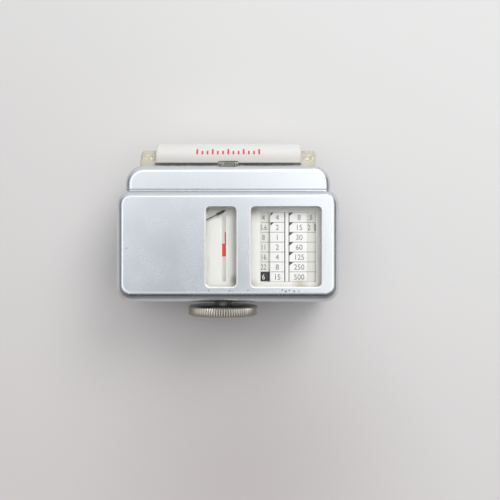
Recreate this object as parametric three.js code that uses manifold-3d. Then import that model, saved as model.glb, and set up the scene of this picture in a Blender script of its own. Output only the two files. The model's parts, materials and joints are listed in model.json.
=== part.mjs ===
// A small exposure meter for a camera's accessory shoe, seen from above as the user reads it.
// Units are millimetres. X runs to the right, Y towards the lit front, Z up.
// The origin is the middle of the foot's underside.

import * as THREE from 'three';
import { mergeVertices } from 'three/addons/utils/BufferGeometryUtils.js';
import Module from 'manifold-3d';

const wasm = await Module();
wasm.setup();

// Fits
const seatGap = 0.1; // between pieces fixed to each other
const runningGap = 0.3; // between pieces that move past each other
const overrun = 1; // how far a cut runs past the face that it opens

// Casing, pressed from sheet brass: a main tier and a lower nose in front of it
const bodyWidth = 51;
const mainDepth = 25.7;
const noseDepth = 5.7;
const noseStepIn = 1.9; // nose side behind the main tier's side
const bodyHeight = 18.6;
const noseDrop = 1.4;
const footToRear = 15.7;
const coverWall = 0.9;
const bodyCornerRadius = 3.4;
const noseCornerRadius = 4.3;
const topFillet = 1.7;
const noseFillet = 1;
const coverScrewInset = 7.2; // from the rear face to the rear side screws
const frontScrewInset = 2.9; // from the front chassis plate to the front side screws
const coverScrewHeight = 3.4; // above the casing's lower edge
const notchWidth = 4.7; // nail notch over the diffuser
const notchDepth = 0.45;

// Windows in the roof
const windowRearInset = 3.57;
const windowFrontInset = 4.06; // behind the step
const windowCornerRadius = 0.9;
const windowChamfer = 0.32;
const tableWindowInset = 4.23; // inside the casing's right side
const tableWindowWidth = 15.94;
const needleWindowWidth = 6.79;
const paneThickness = 0.6;
const paneLap = 1.3; // how far a pane runs under the roof round its window

// Foot for the accessory shoe, and the plate that closes the casing
const footPlateWidth = 18.5;
const footLength = 17;
const footPlateThickness = 1.6;
const footNeckWidth = 12;
const footHeight = 3.8;
const footLeadIn = 1.4;
const footEdgeChamfer = 0.3;
const footScrewSpacing = 9;
const bottomPlateThickness = 0.9;
const lugThickness = 0.9;
const lugWidth = 5;
const lugHeight = 5.2;

// Screws
const coverScrewRadius = 0.8;
const coverScrewHead = 1.5;
const coverScrewHeadHeight = 0.5;
const footScrewRadius = 1;
const footScrewHead = 2;
const footScrewHeadHeight = 1.1;
const footScrewLength = 4.4;
const screwSlotWidth = 0.45;
const screwSlotDepth = 0.3;

// Clear front and the white diffuser that turns round it
const diffuserWall = 1.3;
const earInset = 3; // inside the nose's side
const capsuleSetback = 1.5; // axis behind the front plane
const lensRecess = 0.35;
const honeycombPitch = 3.1;
const honeycombWall = 0.35;
const earLength = 3.7; // clear end beside the diffuser
const cellInset = 0.9; // cell end inside the diffuser's end
const cellMargin = 1.7; // cell edge inside the capsule's edge
const cellThickness = 0.8;
const cellSetback = 0.6; // cell face behind the capsule's axis
const holderWall = 1.1;
const diffuserArc = 146; // degrees
const diffuserEdgeRadius = 0.6;
const diffuserNotchDepth = 0.4;
const holderInset = 1.2; // carrier inside the capsule's end
const contactRadius = 0.45;
const contactInset = 1; // contact inside the carrier's end
const contactRise = 2.1; // above the capsule's lowest line
const contactHead = 0.15;
const contactHeadRadius = 0.7;

// Chassis
const chassisSideGap = 0.7;
const chassisThickness = 0.8;
const chassisClearTop = 2.1; // roof underside down to the chassis plates' upper edges
const rearPlateSetback = 1.1; // behind the rear plate, inside the casing
const saddleWidth = 3;
const saddleMargin = 0.6; // saddle edge inside the capsule's edge
const saddleSetback = 0.9; // behind the capsule's axis
const pillarRadius = 0.9;
const pillarTenonRadius = 0.5;
const pillarInset = 1.3; // inside the chassis plates' ends

// Dial plate
const dialThickness = 0.4;
const dialLift = 0.1; // above the chassis plates
const dialLeftGap = 0.5; // beside the needle's crank
const dialRightInset = 0.4; // inside the chassis plates' ends
const dialFrontGap = 0.8; // inside the step
const dialCornerRadius = 1.6;
const indexSlotShift = 0.45; // right of the wheel's axis
const indexSlotWidth = 0.94;
const indexSlotInset = 1.1; // from the window's rear edge
const indexSlotFrontInset = 0.87;
const tableSlotFrontInset = 0.97;
const tableSlotInset = 1;
const rightSlotInset = 2.07; // inside the table window's right edge
const slotSpacing = 10.64;
const leftSlotWidth = 2.16;
const rightSlotWidth = 1.98;
const dialScrewRadius = 0.45;
const dialScrewHead = 0.85;
const dialScrewHeadHeight = 0.35;
const dialScrewInset = 0.9;
const dialLugSize = 1.6;
const dialLugThickness = 0.8;
const rearLugReach = 0.6; // behind the rear chassis plate

// Setting wheel and the drums that it turns
const drumGap = 0.33; // between the index drum and the left table drum, across
const needleWindowShift = 0.15; // window's middle left of the wheel's axis
const wheelDropShare = 0.6546; // axis below the dial plate, of the way across to the left drum's axis
const wheelRadius = 8.35;
const wheelThickness = 2.46;
const wheelGap = 1.2; // between casing and wheel
const wheelBevel = 0.4;
const knurlCount = 86;
const knurlDepth = 0.22;
const discRadius = 5;
const discThickness = 0.7;
const coinSlotWidth = 1;
const coinSlotDepth = 0.4;
const sleeveRadius = 2.1;
const indexShaftRadius = 0.9;
const bushRadius = 3.3;
const bushFlange = 4;
const bushFlangeThickness = 0.5;
// The drums take their radii from the room down, under the dial plate, and across, between the table slots
const indexDrumShares = { down: 0.1689, across: 0.235 };
const tableDrumShares = { down: 0.1554, across: 0.2162 };
const drumWall = 0.6;
const drumDrop = 0.2; // table drums under the dial plate
const tableShaftRadius = 0.8;
const gearThickness = 1.2;
const wheelTeeth = 28;
const drumTeeth = 20;
const idlerTeeth = 12;
const idlerPinRadius = 0.7;
const backlash = 0.2;
const pressureAngle = 20; // degrees
const toothShares = { addendum: 0.9, dedendum: 1.25 }; // of the module

// Moving-coil movement
// The ring takes its size from the room across, beside the index drum, and along, between the plates
const ringShares = { across: 0.226, along: 0.0957 };
const ringSideGap = 1.1; // between the ring and the casing's side, where the bottom plate's lugs stand
const needlePastSlot = 0.37; // needle's point past the index slot's middle
const needleRest = 26.2; // degrees from +X
const needleThickness = 0.2;
const needleWidth = 0.35;
const needleTipWidth = 0.6;
const needleLift = 0.4; // above the dial plate
const needleTipLength = 2.28;
const needlePoint = 0.57;
const needleTailInset = 0.4; // counterweight inside the core's edge
const needleHubRadius = 0.6;
const weightHalf = 0.7;
const crankClear = 1.3; // crank outside the ring
const ringWall = 0.8;
const bridgeDrop = 2; // upper bridge below the dial plate
const coreInset = 1.35; // core's end inside the ring's
const coilSwingGap = 0.4; // between the coil's end and the ring
const coilLegWidth = 0.8;
const coilDepth = 2.4;
const spacerWidth = 1.4;
const spacerShares = { height: 0.5 }; // of the core's height
const formerWall = 0.2;
const bridgeThickness = 0.8;
const bridgeWidth = 3.4;
const springRoom = 1.3; // between the ring and a bridge
const staffRadius = 0.3;
const jewelRadius = 0.9;
const adjusterRadius = 1.8;
const springShares = { end: 0.52 }; // outer end, of the ring's bore
const springTurns = 3;
const springWidth = 0.2;
const springHeight = 0.3;
const springSteps = 14; // to a turn
const resistorRadius = 1;
const resistorLength = 6;

// How finely round forms are drawn
const pinSides = 10;
const shaftSides = 12;
const headSides = 14;
const sleeveSides = 24;
const barrelSides = 32;
const shellSides = 44;
const cornerSteps = 4;
const weldReach = 1e-5; // points nearer than this are one

// Places worked out from the sizes above
const rearY = -footToRear;
const stepY = rearY + mainDepth;
const frontY = stepY + noseDepth;
const bottomZ = footHeight;
const topZ = bottomZ + bodyHeight;
const noseTopZ = topZ - noseDrop;
const roofZ = topZ - coverWall;
const noseRoofZ = noseTopZ - coverWall;
const insideHalfWidth = bodyWidth / 2 - coverWall;
const insideRearY = rearY + coverWall;
const floorZ = bottomZ + bottomPlateThickness;
const windowRearY = rearY + windowRearInset;
const windowFrontY = stepY - windowFrontInset;
const noseHalfWidth = bodyWidth / 2 - noseStepIn;
const tableWindowRightX = bodyWidth / 2 - tableWindowInset;
const tableWindowLeftX = tableWindowRightX - tableWindowWidth;
const rightSlotX = tableWindowRightX - rightSlotInset;
const leftSlotX = rightSlotX - slotSpacing;
const dialBottomZ = roofZ - chassisClearTop + dialLift;
const dialTopZ = dialBottomZ + dialThickness;
const roomDown = dialBottomZ - floorZ;
const indexDrumRadius = roomDown * indexDrumShares.down + slotSpacing * indexDrumShares.across;
const tableDrumRadius = roomDown * tableDrumShares.down + slotSpacing * tableDrumShares.across;
const wheelSpan = indexDrumRadius + drumGap + tableDrumRadius;
const wheelX = leftSlotX - wheelSpan;
const indexSlotX = wheelX + indexSlotShift;
const needleWindowLeftX = wheelX - needleWindowShift - needleWindowWidth / 2;
const needleWindowRightX = needleWindowLeftX + needleWindowWidth;
const earReach = noseHalfWidth - earInset;
const diffuserHalf = earReach - earLength;
const cellHalf = diffuserHalf - cellInset;
const holderHalf = earReach - holderInset;
const contactX = holderHalf - contactInset;
const chassisHalf = insideHalfWidth - chassisSideGap;
const pillarX = chassisHalf - pillarInset;
const middlePillarX = (wheelX + leftSlotX) / 2;
const capsuleY = frontY - capsuleSetback;
const capsuleZ = (floorZ + noseRoofZ) / 2;
const diffuserRadius = (noseRoofZ - floorZ) / 2 - runningGap;
const capsuleRadius = diffuserRadius - diffuserWall - runningGap;
const cellHalfHeight = capsuleRadius - cellMargin;
const contactZ = capsuleZ - capsuleRadius + contactRise;
const chassisTopZ = roofZ - chassisClearTop;
const chassisBottomZ = floorZ + seatGap;
const frontPlateFrontY = capsuleY - diffuserRadius - runningGap;
const frontPlateRearY = frontPlateFrontY - chassisThickness;
const rearPlateRearY = insideRearY + rearPlateSetback;
const rearPlateFrontY = rearPlateRearY + chassisThickness;
const wheelZ = dialBottomZ - wheelSpan * wheelDropShare;
const drumZ = dialBottomZ - drumDrop - tableDrumRadius;
const gearRearY = rearPlateFrontY + runningGap;
const gearFrontY = gearRearY + gearThickness;
const drumRearY = gearFrontY + runningGap;
const drumFrontY = frontPlateRearY - runningGap;
const pivotY = (windowRearY + windowFrontY) / 2;
const roomAcross = insideHalfWidth + wheelX - indexDrumRadius;
const roomAlong = frontPlateRearY - rearPlateFrontY;
const ringRadius = roomAcross * ringShares.across + roomAlong * ringShares.along;
const ringBore = ringRadius - ringWall;
const coilReach = ringBore - coilSwingGap;
const coilInner = coilReach - coilLegWidth;
const coreRadius = coilInner - runningGap;
const pivotX = ringRadius + ringSideGap - insideHalfWidth;
const crankRadius = ringRadius + crankClear;
const restAngle = THREE.MathUtils.degToRad(needleRest);
const needleLength = (indexSlotX + needlePastSlot - pivotX) / Math.cos(restAngle);
const dialLeftX = pivotX + crankRadius + dialLeftGap;
const dialRightX = chassisHalf - dialRightInset;

// Turns a closed three.js geometry into a solid that can be joined and cut
function solid(geometry) {
  const bare = geometry.index ? geometry.toNonIndexed() : geometry.clone();
  bare.deleteAttribute('normal');
  bare.deleteAttribute('uv');
  const merged = mergeVertices(bare, weldReach);
  const mesh = new wasm.Mesh({
    numProp: 3,
    vertProperties: new Float32Array(merged.attributes.position.array),
    triVerts: new Uint32Array(merged.index.array),
  });
  return new wasm.Manifold(mesh);
}

// Turns such a solid back into a three.js geometry
function geometryOf(body) {
  const mesh = body.getMesh();
  const geometry = new THREE.BufferGeometry();
  geometry.setAttribute('position', new THREE.BufferAttribute(new Float32Array(mesh.vertProperties), 3));
  geometry.setIndex(new THREE.BufferAttribute(new Uint32Array(mesh.triVerts), 1));
  geometry.computeVertexNormals();
  return geometry;
}

function joined(...bodies) {
  return bodies.reduce((whole, body) => whole.add(body));
}

function cut(body, ...tools) {
  return tools.reduce((rest, tool) => rest.subtract(tool), body);
}

// Box between two corners
function block(x0, x1, y0, y1, z0, z1) {
  const box = new THREE.BoxGeometry(x1 - x0, y1 - y0, z1 - z0);
  box.translate((x0 + x1) / 2, (y0 + y1) / 2, (z0 + z1) / 2);
  return solid(box);
}

// Round bars along each axis, with a radius at either end
function rodZ(radius, z0, z1, x, y, sides = sleeveSides, farRadius = radius) {
  const bar = new THREE.CylinderGeometry(farRadius, radius, z1 - z0, sides);
  bar.rotateX(Math.PI / 2);
  bar.translate(x, y, (z0 + z1) / 2);
  return solid(bar);
}

function rodY(radius, y0, y1, x, z, sides = sleeveSides, farRadius = radius) {
  const bar = new THREE.CylinderGeometry(farRadius, radius, y1 - y0, sides);
  bar.translate(x, (y0 + y1) / 2, z);
  return solid(bar);
}

function rodX(radius, x0, x1, y, z, sides = sleeveSides, farRadius = radius) {
  const bar = new THREE.CylinderGeometry(farRadius, radius, x1 - x0, sides);
  bar.rotateZ(-Math.PI / 2);
  bar.translate((x0 + x1) / 2, y, z);
  return solid(bar);
}

// Rounded rectangle as a ring of points, drawn in by an inset that also tightens its corners
function roundedRing(x0, x1, y0, y1, cornerRadii, inset, z, steps = cornerSteps) {
  const corners = [
    [x1, y0, -1, 1, -Math.PI / 2, cornerRadii[0]],
    [x1, y1, -1, -1, 0, cornerRadii[1]],
    [x0, y1, 1, -1, Math.PI / 2, cornerRadii[1]],
    [x0, y0, 1, 1, Math.PI, cornerRadii[0]],
  ];
  const ring = [];
  for (const [x, y, towardsX, towardsY, start, radius] of corners) {
    for (let step = 0; step <= steps; step += 1) {
      const angle = start + (step / steps) * (Math.PI / 2);
      const reach = radius - inset;
      ring.push(new THREE.Vector3(
        x + towardsX * radius + reach * Math.cos(angle),
        y + towardsY * radius + reach * Math.sin(angle),
        z,
      ));
    }
  }
  return ring;
}

// Closed skin through a stack of rings, lowest first, each drawn counterclockwise from above
function loft(rings) {
  const count = rings[0].length;
  const positions = [];
  const faces = [];
  const centres = [];
  for (const ring of rings) {
    ring.forEach((point) => positions.push(point.x, point.y, point.z));
  }
  for (const ring of [rings[0], rings[rings.length - 1]]) {
    const centre = new THREE.Vector3();
    ring.forEach((point) => centre.add(point));
    centre.divideScalar(count);
    centres.push(positions.length / 3);
    positions.push(centre.x, centre.y, centre.z);
  }
  for (let level = 0; level + 1 < rings.length; level += 1) {
    for (let i = 0; i < count; i += 1) {
      const next = (i + 1) % count;
      const low = level * count;
      const high = low + count;
      faces.push(low + i, low + next, high + next, low + i, high + next, high + i);
    }
  }
  const last = (rings.length - 1) * count;
  for (let i = 0; i < count; i += 1) {
    const next = (i + 1) % count;
    faces.push(centres[0], next, i, centres[1], last + i, last + next);
  }
  const geometry = new THREE.BufferGeometry();
  geometry.setAttribute('position', new THREE.Float32BufferAttribute(positions, 3));
  geometry.setIndex(faces);
  return solid(geometry);
}

// Straight-sided block with rounded plan corners and a rounded upper edge
function domedBlock(x0, x1, y0, y1, z0, z1, cornerRadii, fillet, filletSteps = cornerSteps) {
  const rings = [roundedRing(x0, x1, y0, y1, cornerRadii, 0, z0)];
  for (let step = 0; step <= filletSteps; step += 1) {
    const angle = (step / filletSteps) * (Math.PI / 2);
    const inset = fillet * (1 - Math.cos(angle));
    rings.push(roundedRing(x0, x1, y0, y1, cornerRadii, inset, z1 - fillet + fillet * Math.sin(angle)));
  }
  return loft(rings);
}

// Flat plate with rounded plan corners
function roundedPlate(x0, x1, y0, y1, z0, z1, radius) {
  const radii = [radius, radius];
  return loft([z0, z1].map((z) => roundedRing(x0, x1, y0, y1, radii, 0, z)));
}

// Outline in X and Z, extruded along Y
function profileY(points, y0, y1) {
  const shape = new THREE.Shape(points.map(([x, z]) => new THREE.Vector2(x, z)));
  const bar = new THREE.ExtrudeGeometry(shape, { depth: y1 - y0, bevelEnabled: false });
  bar.rotateX(Math.PI / 2);
  bar.translate(0, y1, 0);
  return solid(bar);
}

// Outline in Y and Z, extruded along X
function profileX(points, x0, x1) {
  const shape = new THREE.Shape(points.map(([y, z]) => new THREE.Vector2(y, z)));
  const bar = new THREE.ExtrudeGeometry(shape, { depth: x1 - x0, bevelEnabled: false });
  bar.rotateX(Math.PI / 2);
  bar.rotateZ(Math.PI / 2);
  bar.translate(x0, 0, 0);
  return solid(bar);
}

// Turned solid about the Y direction through x and z, from pairs of radius and place along Y
function turnedY(points, x, z, sides) {
  const outline = points.map(([radius, along]) => new THREE.Vector2(radius, along));
  const turned = new THREE.LatheGeometry(outline, sides);
  turned.translate(x, 0, z);
  return solid(turned);
}

function finish(color, roughness, metalness, extra = {}) {
  return new THREE.MeshStandardMaterial({ color, roughness, metalness, ...extra });
}

const satinChrome = finish('#d7dce3', 0.34, 1);
const brightSteel = finish('#b9bdc2', 0.28, 1);
const darkSteel = finish('#53565a', 0.45, 1);
const brass = finish('#b8924a', 0.35, 1);
const aluminium = finish('#c2c5c8', 0.4, 1);
const copper = finish('#a8562e', 0.4, 1);
const ivoryPaint = finish('#e8e6dc', 0.6, 0);
const whitePlastic = finish('#f1efe8', 0.4, 0);
const clearPlastic = finish('#e6dfc4', 0.12, 0, { transparent: true, opacity: 0.55 });
const clearGlass = finish('#e9eef0', 0.05, 0, { transparent: true, opacity: 0.3 });
const blackPlastic = finish('#1c1c1e', 0.5, 0);
const cellGrey = finish('#3c3f4a', 0.3, 0.4);
const ruby = finish('#a01f3a', 0.1, 0);

const meter = new THREE.Group();

// Adds one piece of the meter under its name
function piece(name, body, material, parent = meter) {
  const mesh = new THREE.Mesh(geometryOf(body), material);
  mesh.name = name;
  parent.add(mesh);
  return mesh;
}

// Casing: one pressed shell with the roof windows, the front opening and the holes for wheel and screws
const roofRadii = [bodyCornerRadius, bodyCornerRadius];
const noseRadii = [noseCornerRadius, noseCornerRadius];
const coverScrewYs = [rearY + coverScrewInset, frontPlateRearY - frontScrewInset];
const coverScrewZ = bottomZ + coverScrewHeight;
const openingHalfWidth = earReach + runningGap;

function windowCutter(x0, x1) {
  const radii = [windowCornerRadius, windowCornerRadius];
  const flare = windowChamfer + overrun;
  return loft([
    roundedRing(x0, x1, windowRearY, windowFrontY, radii, 0, roofZ - overrun),
    roundedRing(x0, x1, windowRearY, windowFrontY, radii, 0, topZ - windowChamfer),
    roundedRing(x0, x1, windowRearY, windowFrontY, radii, -flare, topZ + overrun),
  ]);
}

function topCover() {
  const half = bodyWidth / 2;
  const innerHalf = half - coverWall;
  const innerNose = noseHalfWidth - coverWall;
  const main = domedBlock(-half, half, rearY, stepY, bottomZ, topZ, roofRadii, topFillet);
  const noseBackY = stepY - topFillet - noseCornerRadius;
  const nose = domedBlock(-noseHalfWidth, noseHalfWidth, noseBackY, frontY,
    bottomZ, noseTopZ, noseRadii, noseFillet);
  const lowZ = bottomZ - overrun;
  const mainRadii = roofRadii.map((radius) => radius - coverWall);
  const mainHollow = domedBlock(-innerHalf, innerHalf, insideRearY, stepY - coverWall,
    lowZ, roofZ, mainRadii, topFillet - coverWall, 3);
  const hollowRadii = noseRadii.map((radius) => radius - coverWall);
  const noseHollow = domedBlock(-innerNose, innerNose, noseBackY, frontY - coverWall,
    lowZ, noseRoofZ, hollowRadii, noseFillet - coverWall, 1);
  const opening = block(-openingHalfWidth, openingHalfWidth, frontY - coverWall - overrun, frontY + overrun,
    floorZ, noseRoofZ);
  const notchRadius = notchDepth;
  const notch = roundedPlate(-notchWidth / 2, notchWidth / 2, frontY - notchDepth, frontY + overrun,
    noseRoofZ - overrun, noseTopZ + overrun, notchRadius);
  const wheelHole = rodY(bushRadius + seatGap, rearY - overrun, insideRearY + overrun, wheelX, wheelZ);
  const screwHoles = [];
  for (const y of coverScrewYs) {
    for (const side of [-1, 1]) {
      const inner = side * (innerHalf - overrun);
      const outer = side * (half + overrun);
      const sinkFloor = side * (half - coverScrewHeadHeight - seatGap);
      const [low, high] = [Math.min(inner, outer), Math.max(inner, outer)];
      screwHoles.push(rodX(coverScrewRadius + seatGap, low, high, y, coverScrewZ, pinSides));
      screwHoles.push(rodX(coverScrewHead + seatGap, Math.min(sinkFloor, outer), Math.max(sinkFloor, outer),
        y, coverScrewZ, headSides));
    }
  }
  return cut(
    joined(main, nose), mainHollow, noseHollow, opening, notch, wheelHole, ...screwHoles,
    windowCutter(needleWindowLeftX, needleWindowRightX), windowCutter(tableWindowLeftX, tableWindowRightX),
  );
}
piece('top_cover', topCover(), satinChrome);

// Side screws, with their heads sunk into the casing and their threads in the bottom plate's lugs
const lugOuterX = insideHalfWidth - seatGap;
const lugInnerX = lugOuterX - lugThickness;
function coverScrew(side, y) {
  const face = bodyWidth / 2;
  const headInner = face - coverScrewHeadHeight;
  const head = rodX(coverScrewHead, headInner, face - seatGap, y, coverScrewZ, headSides,
    coverScrewHead - seatGap);
  const shank = rodX(coverScrewRadius, lugInnerX, headInner + seatGap, y, coverScrewZ, pinSides);
  const slot = block(face - seatGap - screwSlotDepth, face + overrun,
    y - screwSlotWidth / 2, y + screwSlotWidth / 2,
    coverScrewZ - coverScrewHead - overrun, coverScrewZ + coverScrewHead + overrun);
  const screw = cut(joined(head, shank), slot);
  return side > 0 ? screw : screw.mirror([1, 0, 0]);
}
coverScrewYs.forEach((y, row) => {
  piece(`cover_screw_left_${row + 1}`, coverScrew(-1, y), brightSteel);
  piece(`cover_screw_right_${row + 1}`, coverScrew(1, y), brightSteel);
});

// Bottom plate with lugs bent up at its ends, and the foot screwed under it
const footScrewYs = [-footScrewSpacing / 2, footScrewSpacing / 2];
function bottomPlate() {
  const half = insideHalfWidth - seatGap;
  const noseHalf = noseHalfWidth - coverWall - seatGap;
  const plateFrontY = frontY - coverWall - seatGap;
  const mainRadius = bodyCornerRadius - coverWall;
  const noseRadius = noseCornerRadius - coverWall;
  const main = roundedPlate(-half, half, insideRearY + seatGap, stepY - coverWall - seatGap,
    bottomZ, floorZ, mainRadius);
  const nose = roundedPlate(-noseHalf, noseHalf, stepY - coverWall - noseDepth, plateFrontY,
    bottomZ, floorZ, noseRadius);
  const lugs = [];
  const holes = footScrewYs.map((y) => (
    rodZ(footScrewRadius + seatGap, bottomZ - overrun, floorZ + overrun, 0, y, shaftSides)));
  for (const y of coverScrewYs) {
    for (const side of [-1, 1]) {
      const near = Math.min(side * lugInnerX, side * lugOuterX);
      const far = Math.max(side * lugInnerX, side * lugOuterX);
      lugs.push(block(near, far, y - lugWidth / 2, y + lugWidth / 2, bottomZ, bottomZ + lugHeight));
      holes.push(rodX(coverScrewRadius + seatGap, near - overrun, far + overrun, y, coverScrewZ, pinSides));
    }
  }
  return cut(joined(main, nose, ...lugs), ...holes);
}
piece('bottom_plate', bottomPlate(), satinChrome);

function shoeFoot() {
  const rail = footPlateWidth / 2;
  const neck = footNeckWidth / 2;
  const tee = profileY([
    [-rail + footEdgeChamfer, 0], [rail - footEdgeChamfer, 0], [rail, footEdgeChamfer],
    [rail, footPlateThickness], [neck, footPlateThickness], [neck, footHeight - seatGap],
    [-neck, footHeight - seatGap], [-neck, footPlateThickness], [-rail, footPlateThickness],
    [-rail, footEdgeChamfer],
  ], -footLength / 2, footLength / 2);
  const leadEnd = footLength / 2;
  const far = rail + overrun;
  const noses = [-1, 1].map((side) => {
    const corner = new THREE.Shape([
      new THREE.Vector2(side * (rail - footLeadIn - overrun), leadEnd + overrun),
      new THREE.Vector2(side * far, leadEnd - footLeadIn - overrun),
      new THREE.Vector2(side * far, leadEnd + overrun),
    ]);
    const depth = footPlateThickness + overrun;
    const wedge = new THREE.ExtrudeGeometry(corner, { depth, bevelEnabled: false });
    wedge.translate(0, 0, -overrun / 2);
    return solid(wedge);
  });
  const holes = footScrewYs.flatMap((y) => [
    rodZ(footScrewRadius + seatGap, -overrun, footHeight + overrun, 0, y, shaftSides),
    rodZ(footScrewHead + seatGap, -overrun, footScrewHeadHeight + seatGap, 0, y, headSides),
  ]);
  return cut(tee, ...noses, ...holes);
}
piece('shoe_foot', shoeFoot(), brightSteel);

footScrewYs.forEach((y, row) => {
  const headZ = seatGap;
  const head = rodZ(footScrewHead, headZ, footScrewHeadHeight, 0, y, headSides);
  const shank = rodZ(footScrewRadius, headZ, headZ + footScrewLength, 0, y, shaftSides);
  const slot = block(-footScrewHead - overrun, footScrewHead + overrun, y - screwSlotWidth / 2,
    y + screwSlotWidth / 2, headZ - overrun, headZ + screwSlotDepth);
  piece(`foot_screw_${row + 1}`, cut(joined(head, shank), slot), brightSteel);
});

// Panes cemented under the roof; between the windows each runs under half of the bar
const barLap = (tableWindowLeftX - needleWindowRightX - runningGap) / 2;
function pane(x0, x1) {
  const top = roofZ - seatGap;
  return roundedPlate(x0, x1, windowRearY - paneLap, windowFrontY + paneLap, top - paneThickness, top,
    windowCornerRadius);
}
piece('needle_window_pane', pane(needleWindowLeftX - paneLap, needleWindowRightX + barLap), clearGlass);
piece('table_window_pane', pane(tableWindowLeftX - barLap, tableWindowRightX + paneLap), clearGlass);

// Dial plate, with one slot over the index drum and two over the exposure drums
const dialRearY = rearPlateRearY - rearLugReach;
const dialFrontY = stepY - coverWall - dialFrontGap;
const dialScrewXs = [dialLeftX + dialScrewInset, dialRightX - dialScrewInset];
const dialScrewYs = [(dialRearY + rearPlateFrontY) / 2, frontPlateRearY - dialLugSize / 2];
const indexSlotY = windowRearY + indexSlotInset;
const tableSlotY = windowRearY + tableSlotInset;
function dialPlate() {
  const plate = roundedPlate(dialLeftX, dialRightX, dialRearY, dialFrontY,
    dialBottomZ, dialTopZ, dialCornerRadius);
  const slots = [
    [indexSlotX, indexSlotWidth, indexSlotY, windowFrontY - indexSlotFrontInset],
    [leftSlotX, leftSlotWidth, tableSlotY, windowFrontY - tableSlotFrontInset],
    [rightSlotX, rightSlotWidth, tableSlotY, windowFrontY - tableSlotFrontInset],
  ].map(([x, width, y0, y1]) => block(x - width / 2, x + width / 2, y0, y1,
    dialBottomZ - overrun, dialTopZ + overrun));
  const holes = dialScrewXs.flatMap((x) => dialScrewYs.map((y) => (
    rodZ(dialScrewRadius + seatGap, dialBottomZ - overrun, dialTopZ + overrun, x, y, pinSides))));
  return cut(plate, ...slots, ...holes);
}
piece('dial_plate', dialPlate(), ivoryPaint);

dialScrewXs.forEach((x, column) => dialScrewYs.forEach((y, row) => {
  const headZ = dialTopZ + seatGap;
  const head = rodZ(dialScrewHead, headZ, headZ + dialScrewHeadHeight, x, y, shaftSides);
  const shank = rodZ(dialScrewRadius, chassisTopZ - dialLugThickness, headZ + seatGap, x, y, shaftSides);
  const side = column ? 'right' : 'left';
  const end = row ? 'front' : 'rear';
  piece(`dial_screw_${side}_${end}`, joined(head, shank), brightSteel);
}));

// Chassis: two upright plates held apart by riveted pillars
const lowPillarZ = chassisBottomZ + pillarRadius;
const highPillarZ = chassisTopZ - pillarRadius - seatGap;
const pillarPlaces = [
  ['plate_pillar_left', -pillarX, lowPillarZ],
  ['plate_pillar_right', pillarX, lowPillarZ],
  ['plate_pillar_middle', middlePillarX, lowPillarZ],
  ['plate_pillar_top', -pillarX, highPillarZ],
];
const drumRestAngle = Math.atan2(drumZ - wheelZ, leftSlotX - wheelX);
const gearModule = (2 * Math.hypot(drumZ - wheelZ, leftSlotX - wheelX)) / (wheelTeeth + drumTeeth);
const wheelPitchRadius = (gearModule * wheelTeeth) / 2;
const drumPitchRadius = (gearModule * drumTeeth) / 2;
const idlerPitchRadius = (gearModule * idlerTeeth) / 2;
const idlerX = (leftSlotX + rightSlotX) / 2;
const idlerZ = drumZ - Math.sqrt((drumPitchRadius + idlerPitchRadius) ** 2 - (slotSpacing / 2) ** 2);

function dialLugs(y0, y1) {
  const lowZ = chassisTopZ - dialLugThickness;
  return dialScrewXs.map((x) => block(x - dialLugSize / 2, x + dialLugSize / 2, y0, y1, lowZ, chassisTopZ));
}

function plateHoles(y0, y1) {
  const shafts = [leftSlotX, rightSlotX].map((x) => (
    rodY(tableShaftRadius + seatGap, y0, y1, x, drumZ, shaftSides)));
  const tenons = pillarPlaces.map(([, x, z]) => rodY(pillarTenonRadius + seatGap, y0, y1, x, z, pinSides));
  const idler = rodY(idlerPinRadius + seatGap, y0, y1, idlerX, idlerZ, shaftSides);
  const lugLowZ = chassisTopZ - dialLugThickness;
  const dialHoles = dialScrewXs.flatMap((x) => dialScrewYs.map((y) => (
    rodZ(dialScrewRadius + seatGap, lugLowZ - overrun, chassisTopZ + overrun, x, y, pinSides))));
  return [...shafts, ...tenons, idler, ...dialHoles];
}

function frontPlate() {
  const plate = block(-chassisHalf, chassisHalf, frontPlateRearY, frontPlateFrontY,
    chassisBottomZ, chassisTopZ);
  const saddleFarX = earReach - seatGap;
  const saddles = [-1, 1].map((side) => {
    const near = side > 0 ? saddleFarX - saddleWidth : -saddleFarX;
    const reach = capsuleRadius - saddleMargin;
    return block(near, near + saddleWidth, frontPlateRearY, capsuleY - saddleSetback,
      capsuleZ - reach, capsuleZ + reach);
  });
  const seat = rodX(capsuleRadius + seatGap, -chassisHalf, chassisHalf, capsuleY, capsuleZ, barrelSides);
  const y0 = frontPlateRearY - overrun;
  const contacts = [-contactX, contactX].map((x) => (
    rodY(contactRadius + seatGap, y0, capsuleY, x, contactZ, pinSides)));
  const shaft = rodY(indexShaftRadius + seatGap, y0, frontPlateFrontY + overrun, wheelX, wheelZ, headSides);
  const lugs = dialLugs(frontPlateRearY - dialLugSize, frontPlateFrontY);
  return cut(joined(plate, ...saddles, ...lugs), seat, shaft, ...contacts,
    ...plateHoles(y0, frontPlateFrontY + overrun));
}
piece('front_plate', frontPlate(), aluminium);

function rearPlate() {
  const plate = block(-chassisHalf, chassisHalf, rearPlateRearY, rearPlateFrontY,
    chassisBottomZ, chassisTopZ);
  const y0 = rearPlateRearY - overrun;
  const y1 = rearPlateFrontY + overrun;
  const bush = rodY(bushRadius + seatGap, y0, y1, wheelX, wheelZ, sleeveSides);
  const lugs = dialLugs(dialRearY, rearPlateFrontY);
  return cut(joined(plate, ...lugs), bush, ...plateHoles(y0, y1));
}
piece('rear_plate', rearPlate(), aluminium);

for (const [name, x, z] of pillarPlaces) {
  const body = rodY(pillarRadius, rearPlateFrontY + seatGap, frontPlateRearY - seatGap, x, z, shaftSides);
  const tenon = rodY(pillarTenonRadius, rearPlateRearY, frontPlateFrontY, x, z, pinSides);
  piece(name, joined(body, tenon), brightSteel);
}

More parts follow.
